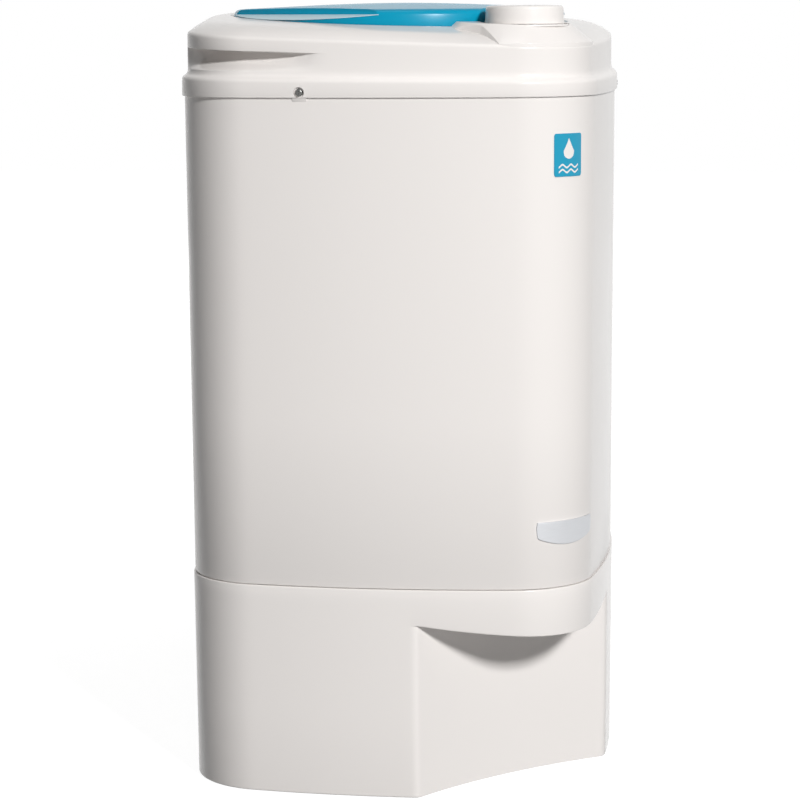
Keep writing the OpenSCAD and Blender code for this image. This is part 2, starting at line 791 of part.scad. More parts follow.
rotor_r = 34;
module rotor() {
    color(steel_grey) tube(rotor_r, shaft_r, stack_h, stack_z);
}
hub_z = basket_floor_z + 46;
shaft_low_z = lower_bell_z - 18;
module motor_shaft() {
    color(steel_grey) disc(shaft_r, hub_z + 12 - shaft_low_z, shaft_low_z);
}
fan_r = 46;
module cooling_fan() {
    color(white) union() {
        tube(shaft_r + 6, shaft_r, 11, shaft_low_z + 1);
        tube(fan_r, shaft_r, 1.5, shaft_low_z + 10.5);
        for (a = [0 : 45 : 315]) rotate([0, 0, a])
            block([shaft_r + 4, -1, shaft_low_z + 2], [fan_r - 1, 1, shaft_low_z + 11]);
    }
}

brake_z = motor_plate_z + motor_plate_t + 5;
brake_h = 13;
module brake_drum() {
    color(zinc) union() {
        tube(shaft_r + 6, shaft_r, brake_h + 3, brake_z - 2);
        tube(brake_r, brake_r - 3, brake_h, brake_z);
        tube(brake_r, shaft_r, 2.5, brake_z + brake_h - 2.5);
    }
}

shoe_t = 7;
lever_x = -(brake_r + gap + shoe_t);
lever_t = 5;
lever_z = brake_z + 3;
module brake_shoe() {
    color(rubber_black) intersection() {
        tube(brake_r + gap + shoe_t + 4, brake_r + gap, brake_h - 4, brake_z + 1);
        block([lever_x, -22, 0], [0, 22, far]);
    }
}
module brake_lever() {
    color(steel_grey) difference() {
        union() {
            block([lever_x - lever_t, pivot.y, lever_z], [lever_x, 62, lever_z + 7]);
            translate([pivot.x, pivot.y, 0]) disc(pivot_r + 4, 7, lever_z);
        }
        translate([pivot.x, pivot.y, 0]) disc(pivot_r + run_fit, far);
        translate([lever_x - lever_t / 2, 56, 0]) disc(1.2, far);
    }
}
module brake_pivot() {
    color(zinc) translate([pivot.x, pivot.y, 0]) union() {
        disc(pivot_r - 1, motor_plate_t + 1, motor_plate_z);
        disc(pivot_r + 3, lever_z - motor_plate_z - motor_plate_t - gap, motor_plate_z + motor_plate_t);
        disc(pivot_r, 9, lever_z - gap);
        disc(pivot_r + 2.5, 2, lever_z + 7 + gap);
    }
}

// Route of the brake cable, from the knob's pod down beside the tub and under its floor
cable_route = [
    [133, -99, 606], [131.5, -92, 590], [127.8, -85.4, 575], [127.1, -84.7, 550], [127.1, -84.7, 440],
    [127.1, -84.7, 320], [127.1, -84.7, 235], [127.1, -84.7, 214], [126.8, -84.7, 203],
    [124.4, -84.1, 196.5], [118, -82.7, 193.5], [107.5, -79.2, 192], [84, -56, 191],
    [64, -20, 191], [58, 20, 191], [40, 56, 191], [4, 74, 191], [-40, 72, 191], [-50, 66, 191]
];
function unit(v) = v / norm(v);
function route_dir(path, i) = unit(path[min(i + 1, len(path) - 1)] - path[max(i - 1, 0)]);
function across_dir(d) = unit(cross(d, abs(d.z) > 0.8 ? [1, 0, 0] : [0, 0, 1]));
module swept_tube(path, r, sides) {
    polyhedron(
        points = [
            for (i = [0 : len(path) - 1])
                let (d = route_dir(path, i), u = across_dir(d), v = cross(d, u))
                    for (k = [0 : sides - 1])
                        path[i] + r * (cos(360 * k / sides) * u + sin(360 * k / sides) * v)
        ],
        faces = concat(
            [[for (k = [0 : sides - 1]) k]],
            [for (i = [0 : len(path) - 2], k = [0 : sides - 1])
                let (a = i * sides + k, b = i * sides + (k + 1) % sides)
                    each [[b, a, a + sides], [b, a + sides, b + sides]]],
            [[for (k = [sides - 1 : -1 : 0]) (len(path) - 1) * sides + k]]
        )
    );
}
module brake_cable() {
    color(rubber_black) swept_tube(cable_route, cable_r, 8);
}

cap_place = [-108, 62];
cap_r = 20;
cap_h = 72;
module capacitor() {
    color(white) translate([cap_place.x, cap_place.y, 0]) union() {
        disc(cap_r, cap_h, plate_z + plate_t);
        disc(cap_r - 6, 4, plate_z + plate_t + cap_h);
    }
}
module capacitor_clamp() {
    color(zinc) translate([cap_place.x, cap_place.y, 0]) difference() {
        union() {
            disc(cap_r + gap + 1.5, 14, plate_z + plate_t);
            block([cap_r - 2, -7, plate_z + plate_t], [cap_r + 16, 7, plate_z + plate_t + 2]);
        }
        disc(cap_r + gap, far);
        translate([cap_r + 9, 0, 0]) disc(screw_r, far);
    }
}
module terminal_block() {
    color(rubber_black) difference() {
        block([-140, -70, plate_z + plate_t], [-112, -20, plate_z + plate_t + 20]);
        for (y = [-60 : 15 : -30]) translate([-126, y, 0]) disc(3, far, plate_z + plate_t + 12);
    }
}
module cord_gland() {
    color(rubber_black) translate([-gland_x, gland_y, gland_z]) rotate([0, 90, 0]) difference() {
        union() {
            translate([0, 0, -gland_flange_t]) cylinder(r = gland_r - gap, h = 14.5, $fn = 48);
            translate([0, 0, -gland_flange_t]) cylinder(r = gland_flange_r, h = gland_flange_t, $fn = 48);
            translate([0, 0, gland_nut_at]) cylinder(r = gland_flange_r, h = 4, $fn = 6);
        }
        translate([0, 0, -10]) cylinder(r = gland_bore_r, h = 40, $fn = 48);
    }
}

// ---------------------------------------------------------------- knob and interlock

module lock_knob() {
    color(white) on_diagonal(knob_at, 0, knob_z) difference() {
        union() {
            cylinder(r1 = knob_r + 0.8, r2 = knob_r, h = knob_h - 3, $fn = 96);
            translate([0, 0, knob_h - 3]) cylinder(r1 = knob_r, r2 = knob_r - 0.9, h = 1.8, $fn = 96);
            translate([0, 0, knob_h - 1.2]) cylinder(r1 = knob_r - 0.9, r2 = knob_r - 3, h = 1.2, $fn = 96);
        }
        difference() {
            translate([0, 0, -1]) cylinder(r = knob_r - 3, h = knob_h - 2, $fn = 96);
            translate([0, 0, -2]) cylinder(r = knob_shaft_r + 3, h = knob_h + 4, $fn = 48);
        }
        translate([0, 0, -2]) cylinder(r = knob_shaft_r, h = knob_h - 1, $fn = 48);
        block([knob_r - 16, -1, knob_h - 0.8], [knob_r - 5, 1, knob_h + 1]);
    }
}
module knob_ring() {
    color(white) on_diagonal(knob_at, 0, 0) tube(knob_ring_r, knob_r - 4, ring_t, seat_z);
}
module knob_shaft() {
    low_z = cam_z - 9;
    color(steel_grey) on_diagonal(knob_at, 0, 0) disc(knob_shaft_r, knob_z + knob_h - 3 - low_z, low_z);
}

// Radius of the switch cam, which grows over the quarter turn from 270 down to 180 degrees
function spiral_at(a) = a < 140 || a > 270 ? spiral_r
    : spiral_r + plunger_travel * min(1, (270 - a) / 90);
module lock_cam() {
    color(white) on_diagonal(knob_at, 0, 0) difference() {
        union() {
            disc(spiral_r + 2, arm_t, cam_z);
            block([-arm_half, 0, cam_z], [arm_half, arm_reach, cam_z + arm_t]);
            translate([0, 0, cam_z - spiral_t - 2]) linear_extrude(spiral_t + 2)
                polygon([for (a = [0 : 5 : 355]) spiral_at(a) * [cos(a), sin(a)]]);
        }
        disc(knob_shaft_r, far * 2);
    }
}

switch_at = 17.5;
switch_z = cam_z - spiral_t - 3;
switch_h = 11;
module switch_post() {
    block([knob_at - 5, -switch_at - 16, switch_z + switch_h], [knob_at + 5, -switch_at - 8, far * 2]);
}
module interlock_switch() {
    color(rubber_black) on_diagonal() difference() {
        block([knob_at - 8, -switch_at - 20, switch_z], [knob_at + 8, -switch_at, switch_z + switch_h]);
        block(
            [knob_at - 2 - gap, -switch_at - 9, switch_z + 4 - gap],
            [knob_at + 2 + gap, 0, switch_z + 8 + gap]);
    }
}
module switch_plunger() {
    color(aqua) on_diagonal() block(
        [knob_at - 2, -switch_at - 5, switch_z + 4], [knob_at + 2, -spiral_r - gap - 0.1, switch_z + 8]);
}

// ---------------------------------------------------------------- lid

lid_low_z = border_z - 2.5;
function lid_outer() = [
    [0, lid_edge_z + dome_rise], [lid_r * 0.35, lid_edge_z + dome_rise * 0.82],
    [lid_r * 0.62, lid_edge_z + dome_rise * 0.48], [lid_r * 0.83, lid_edge_z + dome_rise * 0.2],
    [lid_r - 6, lid_edge_z], [lid_r - 3, lid_edge_z - 1.4],
    [lid_r - 1.2, lid_edge_z - 4.5], [lid_r, ledge_z - 20]
];
module lid_form(t) {
    rotate_extrude($fn = 144) polygon(concat(
        [[0, ledge_z - 20]],
        [for (p = lid_outer()) [max(0, p.x - (p.x > 0 ? t : 0)), p.y - (p.y > ledge_z ? t : 0)]]
    ));
}
// A round bar along the hinge's axis between two places
module hinge_bar(r, from, to) {
    translate([hinge_at, from, hinge_z]) rotate([-90, 0, 0]) cylinder(r = r, h = to - from, $fn = 48);
}
module lid_panel() {
    color(aqua) on_diagonal() union() {
        difference() {
            translate([-lid_back, 0, 0]) difference() {
                lid_form(0);
                lid_form(lid_wall);
            }
            translate([knob_at, 0, 0]) disc(knob_r + 6, far * 2);
            below_slope(lid_low_z);
        }
        difference() {
            intersection() {
                translate([-lid_back, 0, 0]) lid_form(0.1);
                translate([knob_at, 0, 0]) tube(knob_r + 6 + lid_wall, knob_r + 6, far * 2);
            }
            below_slope(lid_low_z);
        }
        difference() {
            block([hook_at, -hook_half, cam_z - 7], [hook_at + hook_t, hook_half, lid_edge_z - 1]);
            block(
                [hook_at - 1, -arm_half - 0.5, cam_z - 2],
                [hook_at + hook_t + 1, hook_half + 1, cam_z + arm_t + 2]);
        }
        for (s = [-1, 1]) difference() {
            union() {
                hinge_bar(knuckle_r, s > 0 ? ear_in : -ear_out, s > 0 ? ear_out : -ear_in);
                block(
                    [hinge_at, s > 0 ? ear_in : -ear_out, hinge_z - 1.5],
                    [hinge_at + 8.5, s > 0 ? ear_out : -ear_in, hinge_z + 2]);
            }
            hinge_bar(pin_r + run_fit, -40, 40);
        }
    }
}
module hinge_bracket() {
    color(white) on_diagonal() difference() {
        union() {
            hinge_bar(knuckle_r, gap - ear_in, ear_in - gap);
            block(
                [hinge_at - knuckle_r, gap - ear_in, pocket_z],
                [hinge_at + knuckle_r, ear_in - gap, hinge_z]);
        }
        hinge_bar(pin_r, -40, 40);
    }
}
module hinge_pin() {
    color(steel_grey) on_diagonal() hinge_bar(pin_r, -ear_out - 1, ear_out + 1);
}

// ---------------------------------------------------------------- spinning basket

module basket_wall() {
    row_pitch = (basket_h - 40) / (hole_rows - 1);
    color(steel_grey) difference() {
        tube(basket_r, basket_r - steel, basket_h, basket_floor_z);
        for (row = [0 : hole_rows - 1], k = [0 : holes_in_row / 2 - 1])
            rotate([0, 0, (k + (row % 2) / 2) * 360 / holes_in_row])
                translate([-basket_r - 5, 0, basket_floor_z + 20 + row * row_pitch])
                    rotate([0, 90, 0]) cylinder(r = basket_hole_r, h = 2 * basket_r + 10, $fn = 8);
    }
}
cone_r = 38;
module basket_floor() {
    color(steel_grey) union() {
        tube(basket_r - steel, cone_r, steel, basket_floor_z);
        difference() {
            translate([0, 0, basket_floor_z]) cylinder(r1 = cone_r + 2, r2 = shaft_r + 9, h = 46, $fn = 96);
            translate([0, 0, basket_floor_z - 1]) cylinder(r1 = cone_r, r2 = shaft_r + 7, h = 41, $fn = 96);
            disc(shaft_r, far * 2);
        }
    }
}
module balance_ring() {
    color(white) union() {
        tube(basket_r + 3, mouth_r, 10, basket_top_z);
        tube(basket_r - steel, mouth_r, 6, basket_top_z - 6);
    }
}
module hub_nut() {
    color(zinc) difference() {
        translate([0, 0, hub_z]) cylinder(r = shaft_r + 5, h = 8, $fn = 6);
        disc(shaft_r, far * 2);
    }
}

base_housing();
base_plate();
feet();
base_screws();
body_shell();
top_cover();
cover_screws();
badge_plate();
label_panel();
neck_ring();
neck_collar();
tub_gasket();
outer_tub();
drain_spout();
support_deck();
suspension_mounts();
motor_plate();
mount_bolts();
upper_bell();
lower_bell();
stator();
windings();
upper_bearing();
lower_bearing();
motor_bolts();
shaft_seal();
capacitor();
capacitor_clamp();
terminal_block();
cord_gland();
brake_cable();
brake_pivot();
knob_ring();
interlock_switch();
hinge_bracket();
hinge_pin();
lid_panel();
lock_knob();
knob_shaft();
lock_cam();
switch_plunger();
brake_lever();
brake_shoe();
basket_wall();
basket_floor();
balance_ring();
hub_nut();
motor_shaft();
rotor();
cooling_fan();
brake_drum();
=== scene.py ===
import json
import math

import bmesh
import bpy
from mathutils import Matrix, Vector


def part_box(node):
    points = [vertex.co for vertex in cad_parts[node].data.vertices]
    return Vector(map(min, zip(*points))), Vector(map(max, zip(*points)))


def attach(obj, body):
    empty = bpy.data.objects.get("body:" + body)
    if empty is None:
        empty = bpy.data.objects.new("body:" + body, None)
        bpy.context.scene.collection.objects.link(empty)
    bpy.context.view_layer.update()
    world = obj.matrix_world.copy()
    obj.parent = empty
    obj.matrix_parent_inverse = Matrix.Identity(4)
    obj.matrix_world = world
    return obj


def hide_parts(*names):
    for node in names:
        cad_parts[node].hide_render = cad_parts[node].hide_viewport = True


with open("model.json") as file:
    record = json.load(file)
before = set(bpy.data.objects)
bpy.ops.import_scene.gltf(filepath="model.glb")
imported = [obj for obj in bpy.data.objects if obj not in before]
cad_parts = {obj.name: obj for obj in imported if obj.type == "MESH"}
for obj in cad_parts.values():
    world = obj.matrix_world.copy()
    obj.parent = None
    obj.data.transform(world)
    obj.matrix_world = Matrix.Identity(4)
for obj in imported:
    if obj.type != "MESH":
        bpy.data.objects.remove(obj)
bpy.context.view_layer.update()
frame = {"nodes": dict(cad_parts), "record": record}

MM = 0.001

# ---------------------------------------------------------------- sizes, in millimetres

SEAM_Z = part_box("base_housing")[1].z / MM
BODY_TOP_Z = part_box("body_shell")[1].z / MM
FLOOR_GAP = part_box("base_housing")[0].z / MM
HALF_W = 178.5
SIDE_R = 820.0
CORNER_R = 70.0
WALL = 3.0
BODY_LEAN = math.tan(math.radians(0.25))
BASE_LEAN = math.tan(math.radians(0.42))
RIM_PROUD = 1.2
DECK_Z = SEAM_Z - 19

CUT_FACE = 136.6
CUT_R = 510.0
LIP_Z = 138.6
LIP_R = 565.0
LIP_END = 105.0
EDGE_BLEND = 4.0
LIP_FILLET = 1.4
SPOUT_AT = 156.0
SPOUT_HOLE_R = 13.3

BODY_TOP_OFF = BODY_LEAN * (BODY_TOP_Z - SEAM_Z)
WALL_OFF = BODY_TOP_OFF - 3.1
SKIRT_OFF = BODY_TOP_OFF + 2.2
SKIRT_IN = BODY_TOP_OFF + 0.3
SKIRT_Z = BODY_TOP_Z - 9.6
GRIP_LOW_Z = BODY_TOP_Z + 11.5
GRIP_HIGH_Z = BODY_TOP_Z + 28
GRIP_CEILING_Z = GRIP_HIGH_Z + 1.5
GRIP_DEPTH = 20.0
GRIP_AT = 12.0
GRIP_AHEAD = 76.0
GRIP_BEHIND = 48.0
RIM_Z = BODY_TOP_Z + 42.2
RIM_TILT = 1.1
BORDER_Z = BODY_TOP_Z + 52.7
LEDGE_Z = BODY_TOP_Z + 40
LEDGE_IN_R = 132.0
SLOPE = math.tan(math.radians(2.58))

LID_R = 145.0
LID_BACK = 10.0
LID_WALL = 2.5
LID_EDGE_Z = BODY_TOP_Z + 61
DOME_RINGS = 32
DOME_RISE = 5.0
RECESS_R = LID_R + 2.2
HINGE_AT = -(LID_R + LID_BACK + 6)
HINGE_Z = BODY_TOP_Z + 58
FLAT_TURN = 79.0
FLAT_HALF_SPAN = 36.0
FLAT_LOW_Z = LID_EDGE_Z - 8.4
FLAT_HIGH_Z = LID_EDGE_Z - 4.2

KNOB_AT = 162.0
KNOB_R = 32.0
KNOB_H = 15.4
NOTCH_R = KNOB_R + 6
KNOB_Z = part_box("lock_knob")[0].z / MM
RING_R = KNOB_R + 4.5
RING_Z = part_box("knob_ring")[0].z / MM
POD_Z = BORDER_Z + 4
POD_HALF = 53.0
POD_RIM_Z = RIM_Z - 8.9
POD_LOW_Z = BODY_TOP_Z + 13
CAM_Z = BODY_TOP_Z + 25
CAM_REACH = 43.0
CAM_TOP_Z = BODY_TOP_Z + 30
SCREW_R = 4.4
SCREW_HEAD_R = 3.1
SCREW_SUNK = 2.9
FAR = 400.0

# ---------------------------------------------------------------- plan outline


def unit(angle):
    """Direction in plan at an angle in radians."""
    return Vector((math.cos(angle), math.sin(angle)))


def turned(v, quarter):
    """A plan vector turned by a number of right angles."""
    for _ in range(quarter):
        v = Vector((-v.y, v.x))
    return v


BOW_BACK = HALF_W - SIDE_R
CORNER_C = (BOW_BACK + math.sqrt(2 * (SIDE_R - CORNER_R) ** 2 - BOW_BACK**2)) / 2
SIDE_HALF = math.asin(CORNER_C / (SIDE_R - CORNER_R))
CORNER_RHO = CORNER_C * math.sqrt(2)


def outline(side_steps, corner_steps):
    """Samples of the casing's plan: the centre, radius and direction of the arc at each place."""
    samples = []
    for quarter in range(4):
        for i in range(side_steps):
            way = unit(SIDE_HALF * (2 * i / side_steps - 1))
            samples.append((turned(Vector((BOW_BACK, 0)), quarter), SIDE_R, turned(way, quarter)))
        for i in range(corner_steps):
            way = unit(SIDE_HALF + (math.pi / 2 - 2 * SIDE_HALF) * i / corner_steps)
            centre = turned(Vector((CORNER_C, CORNER_C)), quarter)
            samples.append((centre, CORNER_R, turned(way, quarter)))
    return samples


def place(sample, off):
    """Point of the outline, moved outwards by off."""
    centre, radius, way = sample
    return centre + (radius + off) * way


def diag(p):
    return (p.x - p.y) / math.sqrt(2)


def across(p):
    return (p.x + p.y) / math.sqrt(2)


def from_diagonal(d, a):
    """Plan point from its distances along and across the front diagonal."""
    return Vector(((d + a) / math.sqrt(2), (a - d) / math.sqrt(2)))


def at(p, z):
    return Vector((p.x, p.y, z))


SHELL = outline(28, 32)
BASE = outline(84, 28)

# ---------------------------------------------------------------- mesh helpers


def piece(name, mesh, body, slot, replaced=None, smooth_angle=28):
    """Makes a named piece of the object from a mesh in millimetres."""
    mesh.transform(Matrix.Scale(MM, 4))
    mesh.shade_smooth()
    mesh.set_sharp_from_angle(angle=math.radians(smooth_angle))
    obj = bpy.data.objects.new(name, mesh)
    bpy.context.scene.collection.objects.link(obj)
    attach(obj, body)
    mesh.materials.append(MATERIALS[slot])
    if replaced:
        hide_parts(replaced)
    return obj


def mesh_from(points, faces):
    mesh = bpy.data.meshes.new("form")
    mesh.from_pydata([tuple(p) for p in points], [], faces)
    bm = bmesh.new()
    bm.from_mesh(mesh)
    bmesh.ops.remove_doubles(bm, verts=bm.verts, dist=1e-4)
    bmesh.ops.dissolve_degenerate(bm, edges=bm.edges, dist=1e-5)
    bmesh.ops.recalc_face_normals(bm, faces=bm.faces)
    bm.to_mesh(mesh)
    bm.free()
    return mesh


def band(low, high, count):
    """Faces between two closed rows of points, which start at the numbers low and high."""
    return [
        (low + k, low + (k + 1) % count, high + (k + 1) % count, high + k) for k in range(count)
    ]


def skin(rings):
    """Surface through rings of equally many points, with the last ring joined to the first."""
    count = len(rings[0])
    faces = []
    for i in range(len(rings)):
        faces += band(i * count, ((i + 1) % len(rings)) * count, count)
    return mesh_from([p for ring in rings for p in ring], faces)


def stacked(rings, upward=True):
    """Solid through rings of equally many points, with a flat face at each end."""
    count = len(rings[0])
    first = tuple(range(count))
    last = tuple(range((len(rings) - 1) * count, len(rings) * count))
    faces = [first[::-1], last] if upward else [first, last[::-1]]
    for i in range(len(rings) - 1):
        faces += band(i * count, (i + 1) * count, count)
    return mesh_from([p for ring in rings for p in ring], faces)


def curve_point(a, b, c, d, t):
    """Point at the share t of the way from b to c, on a smooth curve through four points."""
    slope = (c - a) * t
    bend = (2 * a - 5 * b + 4 * c - d) * t**2
    twist = (3 * b - a - 3 * c + d) * t**3
    return 0.5 * (2 * b + slope + bend + twist)


def between(rings, steps):
    """Rings on a smooth curve through the given rings, with the given number of steps between two."""
    out = []
    last = len(rings) - 1
    for i in range(last):
        four = (rings[max(i - 1, 0)], rings[i], rings[i + 1], rings[min(i + 2, last)])
        for s in range(steps):
            out.append([curve_point(*points, s / steps) for points in zip(*four)])
    out.append(rings[-1])
    return out


def circle_points(middle, r, z, steps):
    """Ring of points about an upright line."""
    angles = [2 * math.pi * k / steps for k in range(steps)]
    return [Vector((middle.x + r * math.cos(t), middle.y + r * math.sin(t), z)) for t in angles]


def revolved(profile, middle, steps=128):
    """Surface of revolution of a profile of radius and height, about an upright line."""
    return skin([circle_points(middle, r, z, steps) for r, z in profile])


def prism(corners, low, high, low_corners=None):
    """Upright prism on a plan polygon, which may differ at its low end."""
    return stacked([[at(p, low) for p in low_corners or corners], [at(p, high) for p in corners]])


def column(d, stack, steps=128):
    """Solid of round sections, stacked as radius and height over a point of the diagonal."""
    middle = from_diagonal(d, 0)
    return stacked([circle_points(middle, r, z, steps) for r, z in stack])


def cylinder(d, r, low, high, steps=128):
    """Upright cylinder over a point of the diagonal."""
    return column(d, [(r, low), (r, high)], steps)


def combined(mesh, other, how):
    """Result of a boolean operation on two meshes."""
    target = bpy.data.objects.new("target", mesh)
    tool = bpy.data.objects.new("tool", other)
    for obj in (target, tool):
        bpy.context.scene.collection.objects.link(obj)
    modifier = target.modifiers.new("cut", "BOOLEAN")
    modifier.operation = how
    modifier.solver = "EXACT"
    modifier.object = tool
    result = applied(target)
    bpy.data.objects.remove(tool)
    return result


def applied(obj):
    """Mesh of an object with its modifiers applied; the object is removed."""
    graph = bpy.context.evaluated_depsgraph_get()
    mesh = bpy.data.meshes.new_from_object(obj.evaluated_get(graph))
    bpy.data.objects.remove(obj)
    return mesh


def bevelled(mesh, width, angle=30, segments=3):
    """Mesh with its sharp edges rounded."""
    obj = bpy.data.objects.new("round", mesh)
    bpy.context.scene.collection.objects.link(obj)
    modifier = obj.modifiers.new("round", "BEVEL")
    modifier.width = width
    modifier.segments = segments
    modifier.limit_method = "ANGLE"
    modifier.angle_limit = math.radians(angle)
    modifier.use_clamp_overlap = True
    return applied(obj)


# ---------------------------------------------------------------- materials

# Sockets of the colour mix node, whose names are shared by its other kinds
MIX_SHARE, MIX_FIRST, MIX_SECOND, MIX_RESULT = 0, 6, 7, 2


class Nodes:
    """Short way to build a material's node tree."""

    def __init__(self, name):
        self.material = bpy.data.materials.new(name)
        self.material.use_nodes = True
        self.tree = self.material.node_tree
        self.shader = self.tree.nodes["Principled BSDF"]
        self.place = self.add("ShaderNodeTexCoord").outputs["Object"]

    def add(self, kind, **values):
        node = self.tree.nodes.new(kind)
        for key, value in values.items():
            setattr(node, key, value)
        return node

    def link(self, out, socket):
        self.tree.links.new(out, socket)

    def noise(self, scale, detail=2.0, stretch=(1, 1, 1)):
        """Noise over the object's own coordinates, with its features drawn out along an axis."""
        mapping = self.add("ShaderNodeMapping")
        mapping.inputs["Scale"].default_value = stretch
        self.link(self.place, mapping.inputs["Vector"])
        texture = self.add("ShaderNodeTexNoise")
        texture.inputs["Scale"].default_value = scale
        texture.inputs["Detail"].default_value = detail
        self.link(mapping.outputs["Vector"], texture.inputs["Vector"])
        return texture.outputs["Fac"]

    def wave(self, scale, axis, distortion=0.0):
        """Regular bands along one axis."""
        texture = self.add("ShaderNodeTexWave", bands_direction=axis)
        texture.inputs["Scale"].default_value = scale
        texture.inputs["Distortion"].default_value = distortion
        self.link(self.place, texture.inputs["Vector"])
        return texture.outputs["Fac"]

    def spread(self, value, low, high, socket):
        """Maps a 0 to 1 value to a range and sets it on a socket of the shader."""
        node = self.add("ShaderNodeMapRange")
        node.inputs["To Min"].default_value = low
        node.inputs["To Max"].default_value = high
        self.link(value, node.inputs["Value"])
        self.link(node.outputs["Result"], self.shader.inputs[socket])

    def colours(self, value, first, second):
        """Base colour that varies between two colours."""
        node = self.add("ShaderNodeMix", data_type="RGBA")
        node.inputs[MIX_FIRST].default_value = (*first, 1)
        node.inputs[MIX_SECOND].default_value = (*second, 1)
        self.link(value, node.inputs[MIX_SHARE])
        self.link(node.outputs[MIX_RESULT], self.shader.inputs["Base Color"])

    def bump(self, value, strength, distance):
        node = self.add("ShaderNodeBump")
        node.inputs["Strength"].default_value = strength
        node.inputs["Distance"].default_value = distance
        self.link(value, node.inputs["Height"])
        self.link(node.outputs["Normal"], self.shader.inputs["Normal"])

    def set(self, **values):
        for name, value in values.items():
            self.shader.inputs[name.replace("_", " ")].default_value = value


def shade(colour, factor):
    return tuple(min(1.0, c * factor) for c in colour)


def moulded(name, colour, roughness, grain=220.0, relief=0.05, mottle=0.02):
    """Moulded plastic: faint flow marks in colour and gloss, and a fine uneven surface."""
    n = Nodes(name)
    n.colours(n.noise(5.0), shade(colour, 1 - mottle), shade(colour, 1 + mottle))
    n.spread(n.noise(14.0, 4.0), roughness * 0.8, roughness * 1.25, "Roughness")
    n.bump(n.noise(grain, 2.0), relief, 0.0002)
    return n


def metal(name, colour, roughness, stretch, scale=300.0, relief=0.08):
    """Bare metal with drawn-out scratches."""
    n = Nodes(name)
    scratches = n.noise(scale, 4.0, stretch)
    n.colours(scratches, shade(colour, 0.92), shade(colour, 1.05))
    n.spread(scratches, roughness * 0.75, roughness * 1.35, "Roughness")
    n.bump(scratches, relief, 0.0002)
    n.set(Metallic=1.0)
    return n


def rubbery(name, colour, roughness, grain=500.0, relief=0.25):
    n = Nodes(name)
    grit = n.noise(grain, 3.0)
    n.colours(grit, shade(colour, 0.8), shade(colour, 1.3))
    n.spread(grit, roughness * 0.9, min(1.0, roughness * 1.1), "Roughness")
    n.bump(grit, relief, 0.0003)
    return n


def casing_white():
    n = moulded("casing_white", (0.80, 0.765, 0.74), 0.2, relief=0.02, mottle=0.008)
    n.set(Specular_IOR_Level=0.3, Coat_Weight=0.05, Coat_Roughness=0.06)
    return n


def lid_aqua():
    n = moulded("lid_aqua", (0.0, 0.305, 0.48), 0.25, relief=0.02, mottle=0.06)
    n.set(Transmission_Weight=0.15, Specular_IOR_Level=0.1)
    return n


def badge_silver():
    n = metal("badge_silver", (0.60, 0.61, 0.63), 0.38, (1, 1, 24), 90.0)
    n.set(Metallic=0.6)
    return n


def lid_painted_reflection():
    """The lid's plastic, pale and matt on the side-step pads: the pale colour is a painted reflection of
    the white surroundings.
    """
    return moulded("lid_painted_reflection", (0.54, 0.70, 0.76), 0.45, 260.0, 0.1, 0.05)


def core_steel():
    n = metal("core_steel", (0.20, 0.21, 0.23), 0.45, (1, 1, 1))
    n.bump(n.wave(300.0, "Z"), 0.5, 0.0004)
    return n


def copper_wire():
    n = metal("copper_wire", (0.62, 0.27, 0.11), 0.30, (1, 1, 1))
    n.bump(n.wave(180.0, "DIAGONAL", 1.5), 0.8, 0.0008)
    return n


def make_materials():
    makers = {
        "casing_white": casing_white,
        "inner_white": lambda: moulded("inner_white", (0.72, 0.72, 0.70), 0.42, 320.0, 0.12, 0.02),
        "lid_aqua": lid_aqua,
        # pale lid colour for the side-step pads: a painted reflection of the white surroundings
        "lid_painted_reflection": lid_painted_reflection,
        "badge_silver": badge_silver,
        "label_cyan": lambda: moulded("label_cyan", (0.0, 0.29, 0.46), 0.28, 300.0, 0.03, 0.03),
        "plated_steel": lambda: metal("plated_steel", (0.62, 0.63, 0.64), 0.32, (1, 1, 6)),
        "dull_steel": lambda: metal("dull_steel", (0.16, 0.16, 0.155), 0.35, (1, 1, 1), 500.0),
        "stainless": lambda: metal("stainless", (0.66, 0.66, 0.67), 0.24, (1, 1, 30), 160.0),
        "bearing_steel": lambda: metal("bearing_steel", (0.72, 0.72, 0.74), 0.12, (1, 1, 1)),
        "cast_aluminium": lambda: metal("cast_aluminium", (0.58, 0.59, 0.60), 0.50, (1, 1, 1), 240.0, 0.4),
        "core_steel": core_steel,
        "copper_wire": copper_wire,
        "black_rubber": lambda: rubbery("black_rubber", (0.022, 0.022, 0.024), 0.70),
        "brake_lining": lambda: rubbery("brake_lining", (0.10, 0.075, 0.055), 0.85, 260.0, 0.5),
        "black_plastic": lambda: moulded("black_plastic", (0.02, 0.02, 0.022), 0.38, 420.0, 0.15, 0.1),
    }
    return {slot: make().material for slot, make in makers.items()}


MATERIALS = make_materials()


def dress_cad_nodes():
    """Gives every CAD node the procedural material of its slot."""
    for part in frame["record"]["subparts"]:
        obj = frame["nodes"][part["node"]]
        for material_slot in obj.material_slots:
            material_slot.material = MATERIALS[part["material_slot"]]


# ---------------------------------------------------------------- base


def base_off(z):
    return RIM_PROUD - (SEAM_Z - z) * BASE_LEAN


def softer_min(a, b, width):
    """The lower of two values, with the change from one to the other rounded."""
    h = max(width - abs(a - b), 0) / width
    return min(a, b) - h * h * width / 4


def cut_back(p, t=0.0):
    """A plan point held behind the concave front face, less a wall of thickness t."""
    d, a = diag(p), across(p)
    face = CUT_FACE + CUT_R - math.sqrt(CUT_R**2 - a * a) - t
    return from_diagonal(softer_min(d, face, EDGE_BLEND), a)


def lip_height(p):
    a = min(abs(across(p)), LIP_END)
    return LIP_Z + LIP_R - math.sqrt(LIP_R**2 - a * a)


def low_ring(z, off, t=0.0):
    """Ring below the lip, which runs behind the concave face."""
    return [at(cut_back(place(s, off), t), z) for s in BASE]


def high_ring(z, off):
    return [at(place(s, off), z) for s in BASE]


